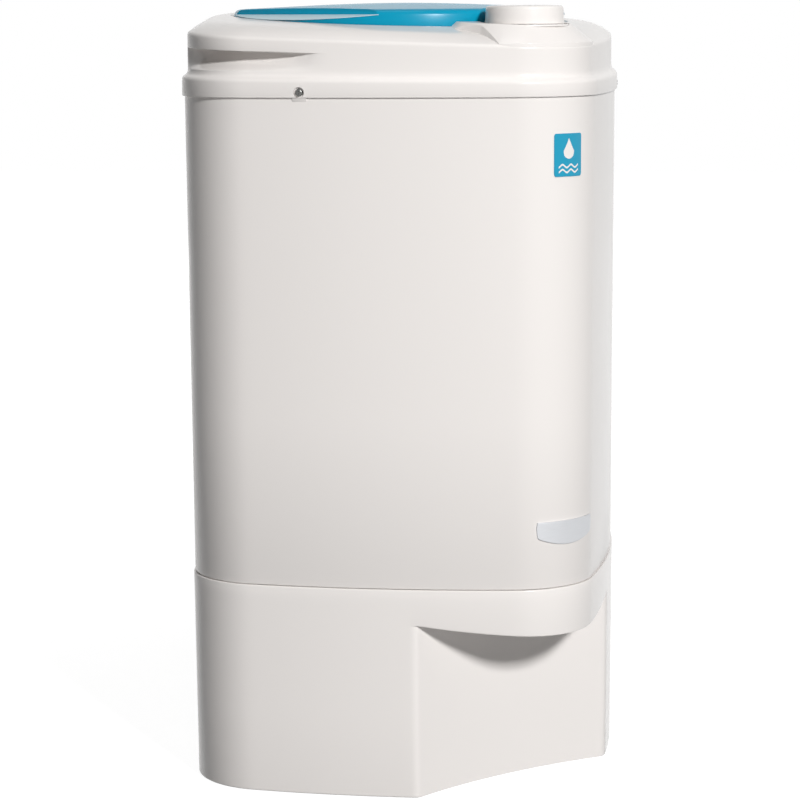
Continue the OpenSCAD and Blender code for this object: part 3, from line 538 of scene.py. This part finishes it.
def lip_ring(rise, pull, off_at, t=0.0):
    """Ring along the lip's edge, pulled back from the outer face by at most half of the overhang."""
    ring = []
    for s in BASE:
        out = place(s, off_at(LIP_Z))
        back = cut_back(out, t)
        z = lip_height(out) + t
        overhang = (out - back).length
        reach = min(LIP_FILLET, overhang / 2)
        share = 0 if overhang < 1e-6 else min(1, pull * reach / overhang)
        ring.append(at(out.lerp(back, share), z + rise * reach))
    return ring


def lip_back_ring(off_at, t=0.0):
    """Ring where the concave face meets the underside of the lip."""
    return [
        at(cut_back(place(s, off_at(LIP_Z)), t), lip_height(place(s, off_at(LIP_Z))) + t) for s in BASE
    ]


def base_form():
    inner = base_off(0) - WALL
    return skin([
        low_ring(FLOOR_GAP, base_off(0) - 1.2),
        low_ring(FLOOR_GAP + 0.2, base_off(0) - 0.6),
        low_ring(FLOOR_GAP + 0.7, base_off(0) - 0.15),
        low_ring(FLOOR_GAP + 1.4, base_off(0)),
        low_ring(70, base_off(70)),
        lip_back_ring(base_off),
        lip_ring(0, 1.0, base_off),
        lip_ring(0.12, 0.4, base_off),
        lip_ring(0.4, 0.12, base_off),
        lip_ring(1.0, 0, base_off),
        high_ring(SEAM_Z - 10, base_off(SEAM_Z)),
        high_ring(SEAM_Z - 0.9, base_off(SEAM_Z)),
        high_ring(SEAM_Z - 0.4, base_off(SEAM_Z) - 0.15),
        high_ring(SEAM_Z - 0.1, base_off(SEAM_Z) - 0.45),
        high_ring(SEAM_Z, base_off(SEAM_Z) - 0.9),
        high_ring(SEAM_Z, RIM_PROUD - WALL),
        high_ring(DECK_Z, RIM_PROUD - WALL),
        high_ring(DECK_Z, RIM_PROUD - WALL - 6),
        high_ring(DECK_Z - 3, RIM_PROUD - WALL - 6),
        high_ring(DECK_Z - 3.5, RIM_PROUD - WALL - 5),
        lip_back_ring(lambda z: base_off(z) - WALL, WALL),
        low_ring(40, inner, WALL),
        low_ring(FLOOR_GAP, inner + 0.4, WALL * 0.8),
    ])


def make_base():
    mesh = base_form()
    hole = cylinder(SPOUT_AT, SPOUT_HOLE_R, LIP_Z - 20, LIP_Z + 12, 64)
    mesh = combined(mesh, hole, "DIFFERENCE")
    piece("casing_base", mesh, "casing", "casing_white", "base_housing", 32)


# ---------------------------------------------------------------- body shell


def shell_ring(z, off):
    return [at(place(s, off), z) for s in SHELL]


def make_body():
    lean = BODY_LEAN
    slit = 0.5
    mesh = skin([
        shell_ring(SEAM_Z + slit, -2.4),
        shell_ring(SEAM_Z + slit, -0.7),
        shell_ring(SEAM_Z + slit + 0.2, -0.25),
        shell_ring(SEAM_Z + slit + 0.7, 0),
        shell_ring(SEAM_Z + 140, 140 * lean),
        shell_ring(SEAM_Z + 280, 280 * lean),
        shell_ring(BODY_TOP_Z - 1, BODY_TOP_OFF),
        shell_ring(BODY_TOP_Z, BODY_TOP_OFF - 0.8),
        shell_ring(BODY_TOP_Z, BODY_TOP_OFF - WALL),
        shell_ring(SEAM_Z + 6, 6 * lean - WALL),
        shell_ring(SEAM_Z - 7.9, RIM_PROUD - WALL - 0.3 - 2.4),
        shell_ring(SEAM_Z - 7.9, RIM_PROUD - WALL - 0.3),
    ])
    piece("casing_body", mesh, "casing", "casing_white", "body_shell")


# ---------------------------------------------------------------- top cover


def grip_share(p):
    """How deep the hand grip is at a point of the outline, from 0 to 1."""
    if abs(across(p)) < 110:
        return 0
    d = diag(p)
    reach = (d - GRIP_AT) / (GRIP_AHEAD if d > GRIP_AT else GRIP_BEHIND)
    return max(0, 1 - reach**2)


def cover_ring(z, off, tilt_share=0.0, grip=0.0):
    ring = []
    for s in SHELL:
        p = place(s, off)
        q = place(s, off - grip * grip_share(p))
        ring.append(at(q, z - tilt_share * SLOPE * diag(p)))
    return ring


LID_MIDDLE = from_diagonal(-LID_BACK, 0)


def circle_ring(middle, r, z, tilt_share=0.0):
    """Ring of a circle, with its points seen from the axis at the angles of the outline's points."""
    ring = []
    for s in SHELL:
        u = place(s, 0).normalized()
        along = u.dot(middle)
        q = u * (along + math.sqrt(r * r - (middle.length_squared - along * along)))
        ring.append(at(q, z - tilt_share * SLOPE * diag(q)))
    return ring


def blend_ring(a, b, share, bulge):
    """Ring between two rings, raised by a bulge that gets less towards the front corner."""
    return [
        p.lerp(q, share) + Vector((0, 0, bulge * min(1, 1 - diag(p) / 400))) for p, q in zip(a, b)
    ]


def cover_form():
    rim = cover_ring(RIM_Z, WALL_OFF - 2, RIM_TILT)
    border = circle_ring(LID_MIDDLE, RECESS_R + 1.5, BORDER_Z, 1)
    under_rim = cover_ring(RIM_Z - WALL - 1, WALL_OFF - WALL, RIM_TILT)
    under_border = circle_ring(LID_MIDDLE, RECESS_R + WALL, BORDER_Z - WALL - 1, 1)
    skirt = [
        cover_ring(SKIRT_Z, SKIRT_IN),
        cover_ring(SKIRT_Z, SKIRT_OFF - 0.6),
        cover_ring(SKIRT_Z + 0.2, SKIRT_OFF - 0.2),
        cover_ring(SKIRT_Z + 0.8, SKIRT_OFF),
    ]
    flare = between([
        cover_ring(BODY_TOP_Z + 3, SKIRT_OFF - 0.15, 0.3),
        cover_ring(BODY_TOP_Z + 4.6, SKIRT_OFF - 0.35, 0.3),
        cover_ring(BODY_TOP_Z + 6.2, SKIRT_OFF - 1.3, 0.3),
        cover_ring(BODY_TOP_Z + 8.4, WALL_OFF + 1.3, 0.3),
        cover_ring(BODY_TOP_Z + 10.5, WALL_OFF + 0.3, 0.3),
        cover_ring(GRIP_LOW_Z + 1, WALL_OFF, 0.3),
    ], 3)
    grip = [
        cover_ring(GRIP_LOW_Z + 2, WALL_OFF, 0.3, GRIP_DEPTH * 0.06),
        cover_ring(GRIP_LOW_Z + 5, WALL_OFF, 0.4, GRIP_DEPTH * 0.36),
        cover_ring(GRIP_LOW_Z + 9, WALL_OFF, 0.6, GRIP_DEPTH * 0.66),
        cover_ring(GRIP_CEILING_Z - 2.5, WALL_OFF, 0.8, GRIP_DEPTH * 0.92),
        cover_ring(GRIP_CEILING_Z - 1, WALL_OFF, 0.8, GRIP_DEPTH),
        cover_ring(GRIP_CEILING_Z - 0.2, WALL_OFF, 0.8, GRIP_DEPTH * 0.96),
        cover_ring(GRIP_CEILING_Z, WALL_OFF, 0.8, GRIP_DEPTH * 0.85),
        cover_ring(GRIP_CEILING_Z, WALL_OFF, 0.8, 0.9),
        cover_ring(GRIP_CEILING_Z + 0.3, WALL_OFF, 0.8, 0.25),
        cover_ring(GRIP_CEILING_Z + 0.9, WALL_OFF, 0.8),
    ]
    shoulder = between([
        cover_ring(RIM_Z - 4, WALL_OFF, RIM_TILT),
        cover_ring(RIM_Z - 2.2, WALL_OFF - 0.15, RIM_TILT),
        blend_ring(cover_ring(RIM_Z - 0.6, WALL_OFF - 1, RIM_TILT), border, 0, 0),
        blend_ring(rim, border, 0.02, 0.7),
        blend_ring(rim, border, 0.13, 2.6),
        blend_ring(rim, border, 0.36, 4.2),
        blend_ring(rim, border, 0.68, 2.4),
        border,
    ], 3)
    well = [
        circle_ring(LID_MIDDLE, RECESS_R + 0.5, BORDER_Z - 0.2, 1),
        circle_ring(LID_MIDDLE, RECESS_R, BORDER_Z - 1, 1),
        circle_ring(LID_MIDDLE, RECESS_R, LEDGE_Z),
        circle_ring(Vector((0, 0)), LEDGE_IN_R, LEDGE_Z),
        circle_ring(Vector((0, 0)), LEDGE_IN_R, LEDGE_Z - 3),
        circle_ring(LID_MIDDLE, RECESS_R + WALL, LEDGE_Z - 3),
    ]
    inside = [
        under_border,
        blend_ring(under_rim, under_border, 0.68, 2.4),
        blend_ring(under_rim, under_border, 0.36, 3.6),
        under_rim,
        cover_ring(GRIP_CEILING_Z + WALL, WALL_OFF - WALL, 0.8, GRIP_DEPTH),
        cover_ring(GRIP_HIGH_Z - 2, WALL_OFF - WALL, 0.3, GRIP_DEPTH),
        cover_ring(GRIP_LOW_Z, WALL_OFF - WALL),
        cover_ring(BODY_TOP_Z + 5, WALL_OFF - WALL),
        cover_ring(BODY_TOP_Z, BODY_TOP_OFF - WALL - 1),
        cover_ring(BODY_TOP_Z, SKIRT_IN),
    ]
    return skin(skirt + flare + grip + shoulder + well + inside)


def tilted_slab(z):
    """Everything above the sloping plane that passes through height z over the axis."""
    corners = [from_diagonal(d, a) for d, a in ((-FAR, -FAR), (FAR, -FAR), (FAR, FAR), (-FAR, FAR))]
    return stacked([[at(p, z - SLOPE * diag(p)) for p in corners], [at(p, FAR * 3) for p in corners]])


def pod_plan(widen):
    """Plan of the pod, made wider on both sides."""
    half = [
        (KNOB_AT - 42 - widen / 4, POD_HALF), (KNOB_AT + 2, KNOB_R + 10), (KNOB_AT + 38, KNOB_R + 10),
        (KNOB_AT + 60, KNOB_R + 11)
    ]
    left = [from_diagonal(d, a + widen) for d, a in half]
    return left + [from_diagonal(d, -a - widen) for d, a in reversed(half)]


def pod_form():
    """The raised pod that carries the knob at the front corner."""
    pod = prism(pod_plan(0), POD_LOW_Z, POD_Z + 20, pod_plan(12))
    pod = combined(pod, cylinder(KNOB_AT, RING_R + 1, POD_LOW_Z + 0.2, POD_Z + 19), "UNION")
    pod_r = CORNER_R + WALL_OFF - 0.25
    corner = column(
        CORNER_RHO, [(pod_r, POD_LOW_Z - 5), (pod_r, POD_RIM_Z), (pod_r - 35, POD_RIM_Z + 30)])
    pod = combined(pod, corner, "INTERSECT")
    pod = combined(pod, tilted_slab(POD_Z), "DIFFERENCE")
    well = combined(
        cylinder(-LID_BACK, RECESS_R, POD_LOW_Z - 20, POD_Z + 40, 192),
        cylinder(KNOB_AT, RING_R, POD_LOW_Z - 30, POD_Z + 50), "DIFFERENCE")
    pod = combined(pod, well, "DIFFERENCE")
    pod = bevelled(pod, 2.4, 24, 5)
    cam_room = cylinder(KNOB_AT, CAM_REACH + 2, POD_LOW_Z - 8, CAM_TOP_Z + 1.5)
    pod = combined(pod, cam_room, "DIFFERENCE")
    seat = cylinder(KNOB_AT, RING_R + 0.3, RING_Z, POD_Z + 30)
    return combined(pod, seat, "DIFFERENCE")


def screw_places():
    """Matrices of the cover screws: local Z points out of the skirt."""
    turn = math.asin(63 / SIDE_R)
    for quarter in range(4):
        half = 1 if quarter % 2 == 0 else -1
        yield (Matrix.Rotation(quarter * math.pi / 2, 4, "Z")
               @ Matrix.Translation((BOW_BACK, 0, BODY_TOP_Z - 5.2))
               @ Matrix.Rotation(half * turn, 4, "Z")
               @ Matrix.Translation((SIDE_R, 0, 0)) @ Matrix.Rotation(math.pi / 2, 4, "Y"))



def tab_form(where):
    """Tab of the skirt around a screw; it thins out towards its lower end."""
    half, top, low = 6.0, -4.4, 8.4
    inner = BODY_TOP_OFF - 0.7
    section = [
        (top, inner), (top, SKIRT_OFF - 0.3), (2.5, SKIRT_OFF - 0.35), (6.0, SKIRT_OFF - 1.5),
        (low, BODY_TOP_OFF - 0.4), (low, inner),
    ]
    ends = [[where @ Vector((x, y, z)) for x, z in section] for y in (-half, half)]
    return bevelled(stacked(ends, False), 0.5, 20)


def turned_about(where, profile, steps=48):
    """Solid turned about a screw's axis, from radius and height."""
    axis = Vector((0, 0))
    return stacked([[where @ p for p in circle_points(axis, r, z, steps)] for r, z in profile])


def screw_recess(where):
    """Cutter for the round recess that a screw sits in."""
    return turned_about(where, [(SCREW_R, SKIRT_OFF - SCREW_SUNK), (SCREW_R, SKIRT_OFF + 6)])


def block_at(where, size, middle):
    """Block on a screw's axis."""
    mesh = bpy.data.meshes.new("form")
    bm = bmesh.new()
    place_there = where @ Matrix.Translation(middle) @ Matrix.Diagonal((*size, 1))
    bmesh.ops.create_cube(bm, size=1, matrix=place_there)
    bm.to_mesh(mesh)
    bm.free()
    return mesh


def screw_form(where):
    """Pan head with a tapered cross recess, sunk in the skirt."""
    top = SKIRT_OFF + 0.5
    head = turned_about(where, [
        (1.6, -9), (1.6, SKIRT_OFF - 2.3), (SCREW_HEAD_R, SKIRT_OFF - 2.3),
        (SCREW_HEAD_R, SKIRT_OFF - 0.8), (SCREW_HEAD_R - 0.2, top - 0.7),
        (SCREW_HEAD_R - 0.9, top - 0.2), (SCREW_HEAD_R - 1.9, top),
    ])
    for size in ((4.6, 1.3, 2.8), (1.3, 4.6, 2.8)):
        head = combined(head, block_at(where, size, (0, 0, top + 0.1)), "DIFFERENCE")
    return bevelled(head, 0.08, 35, 2)


def make_cover():
    cover = cover_form()
    for i, where in enumerate(screw_places()):
        tab = combined(tab_form(where), screw_recess(where), "DIFFERENCE")
        piece(f"skirt_tab_{i + 1}", tab, "casing", "casing_white", "top_cover")
        cover = combined(cover, screw_recess(where), "DIFFERENCE")
        screw = piece(f"cover_screw_{i + 1}", screw_form(where), "casing", "plated_steel", "cover_screws")
        screw.material_slots[0].material = MATERIALS["dull_steel"]
    piece("casing_cover", cover, "casing", "casing_white", "top_cover", 40)
    piece("knob_pod", pod_form(), "casing", "casing_white", "top_cover", 25)


# ---------------------------------------------------------------- lid


def lid_profile(t):
    """Outer profile of the lid, moved inwards by t."""
    r, top = LID_R - t, LID_EDGE_Z - t
    dome = []
    for i in range(DOME_RINGS + 1):
        share = 0.95 * i / DOME_RINGS
        dome.append((LID_R * share, LID_EDGE_Z + DOME_RISE * (1 - 1.8 * share**2 + 0.8 * share**3) - t))
    edge = [
        (r - 5.5, top - 0.1), (r - 4, top - 0.6), (r - 2.8, top - 1.7), (r - 1.9, top - 3.4),
        (r - 1.4, top - 5),
    ]
    return dome + edge + [(r, LEDGE_Z - 20)]


def lid_solid(t):
    """Round solid under the lid's profile, moved inwards by t."""
    profile = lid_profile(t)
    steps = 192
    points = [at(LID_MIDDLE, profile[0][1])]
    for r, z in profile[1:]:
        points += circle_points(LID_MIDDLE, r, z, steps)
    faces = [(0, 1 + k, 1 + (k + 1) % steps) for k in range(steps)]
    for i in range(len(profile) - 2):
        a, b = 1 + i * steps, 1 + (i + 1) * steps
        faces += [(a + k, b + k, b + (k + 1) % steps, a + (k + 1) % steps) for k in range(steps)]
    last = 1 + (len(profile) - 2) * steps
    faces.append(tuple(range(last, last + steps)))
    return mesh_from(points, faces)


def bar(r, start, end, steps=48):
    """Round bar along the hinge's axis, given in the diagonal frame."""
    angles = [2 * math.pi * k / steps for k in range(steps)]
    return stacked([
        [at(from_diagonal(HINGE_AT + r * math.cos(t), y), HINGE_Z + r * math.sin(t)) for t in angles]
        for y in (start, end)
    ], False)


def box_mesh(low, high):
    """Block between two corners of the diagonal frame."""
    plan = [from_diagonal(low[0], low[1]), from_diagonal(high[0], low[1]),
            from_diagonal(high[0], high[1]), from_diagonal(low[0], high[1])]
    return prism(plan, low[2], high[2])


def lid_fittings(lid):
    """The lid with its latch tongue and hinge ears."""
    hook_at = KNOB_AT - KNOB_R - 8.5
    tongue = box_mesh((hook_at, -10, CAM_Z - 7), (hook_at + 3, 10, LID_EDGE_Z - 1))
    slot = box_mesh((hook_at - 1, -5.5, CAM_Z - 2), (hook_at + 4, 11, CAM_Z + 6))
    lid = combined(lid, bevelled(combined(tongue, slot, "DIFFERENCE"), 0.4), "UNION")
    for a, b in ((-23, -13.5), (13.5, 23)):
        arm = box_mesh((HINGE_AT, a, HINGE_Z - 1.5), (HINGE_AT + 8.5, b, HINGE_Z + 2))
        ear = combined(bar(4, a, b), arm, "UNION")
        ear = combined(ear, bar(2.05, a - 1, b + 1), "DIFFERENCE")
        lid = combined(lid, ear, "UNION")
    return lid


def beside_grip(side):
    """Placer of points that are given from the lid's middle, with X towards a side step."""
    turn = Matrix.Rotation(math.radians(-45 + side * FLAT_TURN), 4, "Z")
    shift = at(LID_MIDDLE, 0)
    return lambda x, y, z: turn @ Vector((x, y, z)) + shift


def lid_flat(side, t):
    """Cutter for the step beside a hand grip: a straight wall over a gently sloping ledge."""
    spot = beside_grip(side)
    near = LID_R * math.cos(math.radians(FLAT_HALF_SPAN)) - t
    section = [
        (near, FLAT_HIGH_Z - t), (LID_R, FLAT_LOW_Z - t), (LID_R + 20, FLAT_LOW_Z - t - 3),
        (LID_R + 20, LID_EDGE_Z + 40), (near, LID_EDGE_Z + 40)
    ]
    return stacked([[spot(x, y, z) for x, z in section] for y in (-100, 100)], False)


def reflection_pad(side):
    """Thin matt pad on the ledge of a side step, which carries the pale painted reflection."""
    spot = beside_grip(side)
    near = LID_R * math.cos(math.radians(FLAT_HALF_SPAN)) + 0.1
    rise = (FLAT_HIGH_Z - FLAT_LOW_Z) / (LID_R - near)
    edge_r = LID_R - 0.6
    half = math.sqrt(edge_r**2 - near**2) - 0.5
    steps = 64
    upper, lower = [], []
    for i in range(steps + 1):
        y = half * (2 * i / steps - 1)
        outer = math.sqrt(edge_r**2 - y * y)
        for x in (near, (near + outer) / 2, outer):
            z = FLAT_LOW_Z + (LID_R - x) * rise
            upper.append(spot(x, y, z + 0.25))
            lower.append(spot(x, y, z - 0.2))
    count = len(upper)
    faces = []
    for i in range(steps):
        for j in range(2):
            a, b = 3 * i + j, 3 * (i + 1) + j
            faces += [(a, b, b + 1, a + 1), tuple(count + k for k in (a + 1, b + 1, b, a))]
    rim = [3 * i for i in range(steps + 1)] + [3 * steps + 1]
    rim += [3 * i + 2 for i in range(steps, -1, -1)] + [1]
    for k, a in enumerate(rim):
        b = rim[(k + 1) % len(rim)]
        faces.append((b, a, count + a, count + b))
    return mesh_from(upper + lower, faces)


def lid_block(t):
    """Solid form of the lid, inwards by t: round, with the knob's notch and two side steps."""
    notch = cylinder(KNOB_AT, NOTCH_R + t, LEDGE_Z - 40, LID_EDGE_Z + 40)
    form = combined(lid_solid(t), notch, "DIFFERENCE")
    for side in (-1, 1):
        form = combined(form, lid_flat(side, t), "DIFFERENCE")
    return form


def make_lid():
    inner = lid_block(LID_WALL)
    inner.transform(Matrix.Translation((0, 0, -0.01)))
    shell = combined(bevelled(lid_block(0), 0.7, 40), inner, "DIFFERENCE")
    shell = combined(shell, tilted_slab(BORDER_Z - 2.5), "INTERSECT")
    piece("lid_shell", lid_fittings(shell), "lid", "lid_aqua", "lid_panel", 30)
    for i, side in enumerate((-1, 1)):
        pad = piece(f"lid_reflection_pad_{i + 1}", reflection_pad(side), "lid", "lid_aqua", "lid_panel", 30)
        # The pads take the pale colour that paints the lid's reflection of the white surroundings.
        pad.material_slots[0].material = MATERIALS["lid_painted_reflection"]


# ---------------------------------------------------------------- knob


def make_knob():
    r, top = KNOB_R, KNOB_Z + KNOB_H
    profile = [
        (5.95, KNOB_Z - 0.01), (9, KNOB_Z), (9, top - 4), (r - 4, top - 4.5), (r - 3, KNOB_Z + 0.2),
        (r + 0.4, KNOB_Z), (r + 0.8, KNOB_Z + 0.5), (r + 0.35, KNOB_Z + 6), (r, top - 3.2),
        (r - 0.2, top - 2.2), (r - 0.7, top - 1.4), (r - 1.5, top - 0.8), (r - 3, top - 0.45),
        (r - 8, top - 0.2), (r * 0.4, top - 0.05), (4, top), (0.5, top), (0.5, top - 5), (5.95, top - 5),
    ]
    middle = from_diagonal(KNOB_AT, 0)
    mesh = revolved(profile, middle)
    mark = box_mesh((KNOB_AT + r - 15, -0.9, top - 1.2), (KNOB_AT + r - 5, 0.9, top + 2))
    mesh = combined(mesh, mark, "DIFFERENCE")
    piece("knob_cap", mesh, "knob", "casing_white", "lock_knob", 35)
    ring_top = RING_Z + 1.7
    collar = [
        (r - 4, RING_Z), (RING_R, RING_Z), (RING_R, ring_top - 0.7), (RING_R - 0.2, ring_top - 0.25),
        (RING_R - 0.8, ring_top), (r - 4, ring_top),
    ]
    piece("knob_collar", revolved(collar, middle), "casing", "casing_white", "knob_ring", 35)


# ---------------------------------------------------------------- label and badge

PLATE_UNDER = 0.15
LABEL_FACE = 0.55
PRINT_UNDER = 0.5
PRINT_FACE = 0.62
BADGE_FACE = 1.15
WAVES_BELOW = (13, 9)
WAVE_RISE = 1.2
WAVE_RATE = 0.7
WAVE_THICK = 1.5
WAVE_WIDTH = 21.0
DROP_R = 5.6
DROP_TIP = 4.5
DROP_TAPER = 1.15


def corner_point(a, z, off):
    """Point on the front corner, at a place across it and a height, standing off the body shell."""
    r = CORNER_R + (z - SEAM_Z) * BODY_LEAN + off
    return at(from_diagonal(CORNER_RHO + math.sqrt(r * r - a * a), a), z)


def corner_patch(low, high, width, off_low, off_high, middle=0.0, columns=48, rows=16):
    """Curved plate on the front corner; low and high give its edges at each place across it."""
    points, faces = [], []
    levels = (off_low, off_high)
    for off in levels:
        for i in range(columns + 1):
            a = width * (i / columns - 0.5)
            for j in range(rows + 1):
                points.append(corner_point(middle + a, low(a) + (high(a) - low(a)) * j / rows, off))
    layer = (columns + 1) * (rows + 1)

    def number(i, j):
        return i * (rows + 1) + j

    for i in range(columns):
        for j in range(rows):
            quad = (number(i, j), number(i + 1, j), number(i + 1, j + 1), number(i, j + 1))
            faces += [quad[::-1], tuple(layer + q for q in quad)]
    rim = [number(i, 0) for i in range(columns)] + [number(columns, j) for j in range(rows)]
    rim += [number(i, rows) for i in range(columns, 0, -1)]
    rim += [number(0, j) for j in range(rows, 0, -1)]
    for k, a in enumerate(rim):
        b = rim[(k + 1) % len(rim)]
        faces.append((a, b, layer + b, layer + a))
    return mesh_from(points, faces)


def rounded_edge(half_width, radius):
    """Function that says how far a rounded rectangle's edge draws in at a place across it."""
    def drawn_in(a):
        over = max(0, abs(a) - (half_width - radius))
        return radius - math.sqrt(max(0, radius**2 - over**2))

    return drawn_in


def make_label():
    """Cyan plate with rounded corners, and a drop over two waves as its print."""
    width, height, middle_z, middle = 29.5, 35.0, 538.0, 2.4
    edge = rounded_edge(width / 2, 2)
    plate = corner_patch(
        lambda a: middle_z - height / 2 + edge(a), lambda a: middle_z + height / 2 - edge(a), width,
        PLATE_UNDER, LABEL_FACE, middle, 60)
    piece("front_label", plate, "casing", "label_cyan", "label_panel")
    for i, below in enumerate(WAVES_BELOW):
        def wave(a):
            return middle_z - below + WAVE_RISE * math.sin(a * WAVE_RATE)

        mesh = corner_patch(
            lambda a: wave(a) - WAVE_THICK / 2, lambda a: wave(a) + WAVE_THICK / 2, WAVE_WIDTH,
            PRINT_UNDER, PRINT_FACE, middle, 60, 2)
        piece(f"label_wave_{i + 1}", mesh, "casing", "casing_white", "label_panel")
    drop_z = middle_z + 2.5

    def drop_low(a):
        return drop_z - math.sqrt(max(0, DROP_R**2 - a * a))

    def drop_high(a):
        return drop_z + 1.0 + (DROP_R + DROP_TIP) * (1 - abs(a) / DROP_R) ** DROP_TAPER

    mesh = corner_patch(drop_low, drop_high, 2 * DROP_R, PRINT_UNDER, PRINT_FACE, middle, 48, 10)
    piece("label_drop", mesh, "casing", "casing_white", "label_panel")


def make_badge():
    """Bare plate with a straight upper edge and a bowed lower one."""
    width, height, top, middle = 63.0, 20.0, 235.5, 5.0
    arc_r = 1.2 * width

    def low(a):
        side = top - height * 0.25 - math.sqrt(max(0, (width / 2) ** 2 - a * a))
        return max(side, top - height + arc_r - math.sqrt(arc_r**2 - a * a))

    def high(a):
        return min(top, top - height * 0.25 + math.sqrt(max(0, (width / 2) ** 2 - a * a)))

    plate = corner_patch(low, high, width, PLATE_UNDER, BADGE_FACE, middle, 72, 12)
    piece("front_badge", bevelled(plate, 0.35, 50), "casing", "badge_silver", "badge_plate")


# ---------------------------------------------------------------- stage, light and camera

FLOOR_HALF = 8.0
FLOOR_GLOW = 0.94
FLOOR_COLOUR = (0.22, 0.22, 0.22)
GLOW_NEAR = 0.4
GLOW_FAR = 1.0
ROOM_LIGHT = 0.04
LAMPS_LOOK_AT = Vector((0, 0, 0.33))
CAMERA_AT = (0.3269, -2.3622, 0.6660)
CAMERA_WAY = (-0.1386, 0.9794, -0.1469)
CAMERA_ROLL = -0.0069
CAMERA_LENS = 122.11


def rays_seen(n):
    """1 for camera, glossy and transmission rays, and 0 for the rays that light the object."""
    light = n.add("ShaderNodeLightPath")
    first = n.add("ShaderNodeMath", operation="MAXIMUM")
    second = n.add("ShaderNodeMath", operation="MAXIMUM")
    n.link(light.outputs["Is Camera Ray"], first.inputs[0])
    n.link(light.outputs["Is Glossy Ray"], first.inputs[1])
    n.link(first.outputs[0], second.inputs[0])
    n.link(light.outputs["Is Transmission Ray"], second.inputs[1])
    return second.outputs[0]


def floor_paper():
    """White paper: it glows white for the camera and in reflections, and takes the object's shadow."""
    n = Nodes("floor_paper")
    n.tree.nodes.remove(n.shader)
    distance = n.add("ShaderNodeVectorMath", operation="LENGTH")
    n.link(n.place, distance.inputs[0])
    fade = n.add("ShaderNodeMapRange")
    fade.inputs["From Min"].default_value = GLOW_NEAR
    fade.inputs["From Max"].default_value = GLOW_FAR
    fade.inputs["To Min"].default_value = FLOOR_GLOW
    fade.inputs["To Max"].default_value = 1.0
    n.link(distance.outputs["Value"], fade.inputs["Value"])
    glow = n.add("ShaderNodeMath", operation="MULTIPLY")
    n.link(rays_seen(n), glow.inputs[0])
    n.link(fade.outputs["Result"], glow.inputs[1])
    white = n.add("ShaderNodeEmission")
    n.link(glow.outputs[0], white.inputs["Strength"])
    paper = n.add("ShaderNodeBsdfDiffuse")
    paper.inputs["Color"].default_value = (*FLOOR_COLOUR, 1)
    n.link(n.noise(60.0), paper.inputs["Roughness"])
    both = n.add("ShaderNodeAddShader")
    n.link(white.outputs[0], both.inputs[0])
    n.link(paper.outputs[0], both.inputs[1])
    n.link(both.outputs[0], n.tree.nodes["Material Output"].inputs["Surface"])
    return n.material


def make_stage():
    mesh = bpy.data.meshes.new("floor")
    corners = [(-1, -1), (1, -1), (1, 1), (-1, 1)]
    mesh.from_pydata([(x * FLOOR_HALF, y * FLOOR_HALF, 0) for x, y in corners], [], [(0, 1, 2, 3)])
    floor = bpy.data.objects.new("floor", mesh)
    bpy.context.scene.collection.objects.link(floor)
    mesh.materials.append(floor_paper())


class WorldNodes(Nodes):
    """The same short way for the world's node tree."""

    def __init__(self, world):
        world.use_nodes = True
        self.tree = world.node_tree


def make_world():
    world = bpy.data.worlds.new("studio")
    bpy.context.scene.world = world
    n = WorldNodes(world)
    level = n.add("ShaderNodeMapRange")
    level.inputs["To Min"].default_value = ROOM_LIGHT
    level.inputs["To Max"].default_value = 1.0
    n.link(rays_seen(n), level.inputs["Value"])
    background = n.tree.nodes["Background"]
    background.inputs["Color"].default_value = (1, 1, 1, 1)
    n.link(level.outputs["Result"], background.inputs["Strength"])


def make_lamp(name, azimuth, elevation, distance, size, power, mirrored=True):
    """Soft square lamp on the middle of the dryer; mirrored says whether reflections show it."""
    data = bpy.data.lights.new(name, "AREA")
    data.shape = "SQUARE"
    data.size = size
    data.energy = power
    lamp = bpy.data.objects.new(name, data)
    lamp.visible_glossy = mirrored
    bpy.context.scene.collection.objects.link(lamp)
    a, e = math.radians(azimuth), math.radians(elevation)
    way = Vector((math.sin(a) * math.cos(e), -math.cos(a) * math.cos(e), math.sin(e)))
    lamp.location = LAMPS_LOOK_AT + way * distance
    lamp.rotation_euler = (-way).to_track_quat("-Z", "Y").to_euler()


def make_camera():
    """Camera at the photograph's place, found from the casing's edges."""
    forward = Vector(CAMERA_WAY).normalized()
    level = forward.cross(Vector((0, 0, 1))).normalized()
    upright = level.cross(forward)
    right = math.cos(CAMERA_ROLL) * level + math.sin(CAMERA_ROLL) * upright
    up = -math.sin(CAMERA_ROLL) * level + math.cos(CAMERA_ROLL) * upright
    data = bpy.data.cameras.new("camera")
    data.lens = CAMERA_LENS
    data.sensor_width = 36
    data.clip_end = 100
    camera = bpy.data.objects.new("camera", data)
    bpy.context.scene.collection.objects.link(camera)
    turn = Matrix((right, up, -forward)).transposed().to_4x4()
    camera.matrix_world = Matrix.Translation(CAMERA_AT) @ turn
    bpy.context.scene.camera = camera


# ---------------------------------------------------------------- the whole scene

dress_cad_nodes()
make_base()
make_body()
make_cover()
make_lid()
make_knob()
make_label()
make_badge()
make_stage()
make_world()
make_lamp("key", 33.5, 27, 6.5, 0.75, 392)
make_lamp("fill", 12, -3, 3.2, 0.6, 18, mirrored=False)
make_lamp("back", -150, 10, 5.0, 2.0, 100, mirrored=False)
make_lamp("top", 10, 80, 3.0, 1.2, 10)
make_camera()
bpy.context.scene.view_settings.view_transform = "Standard"
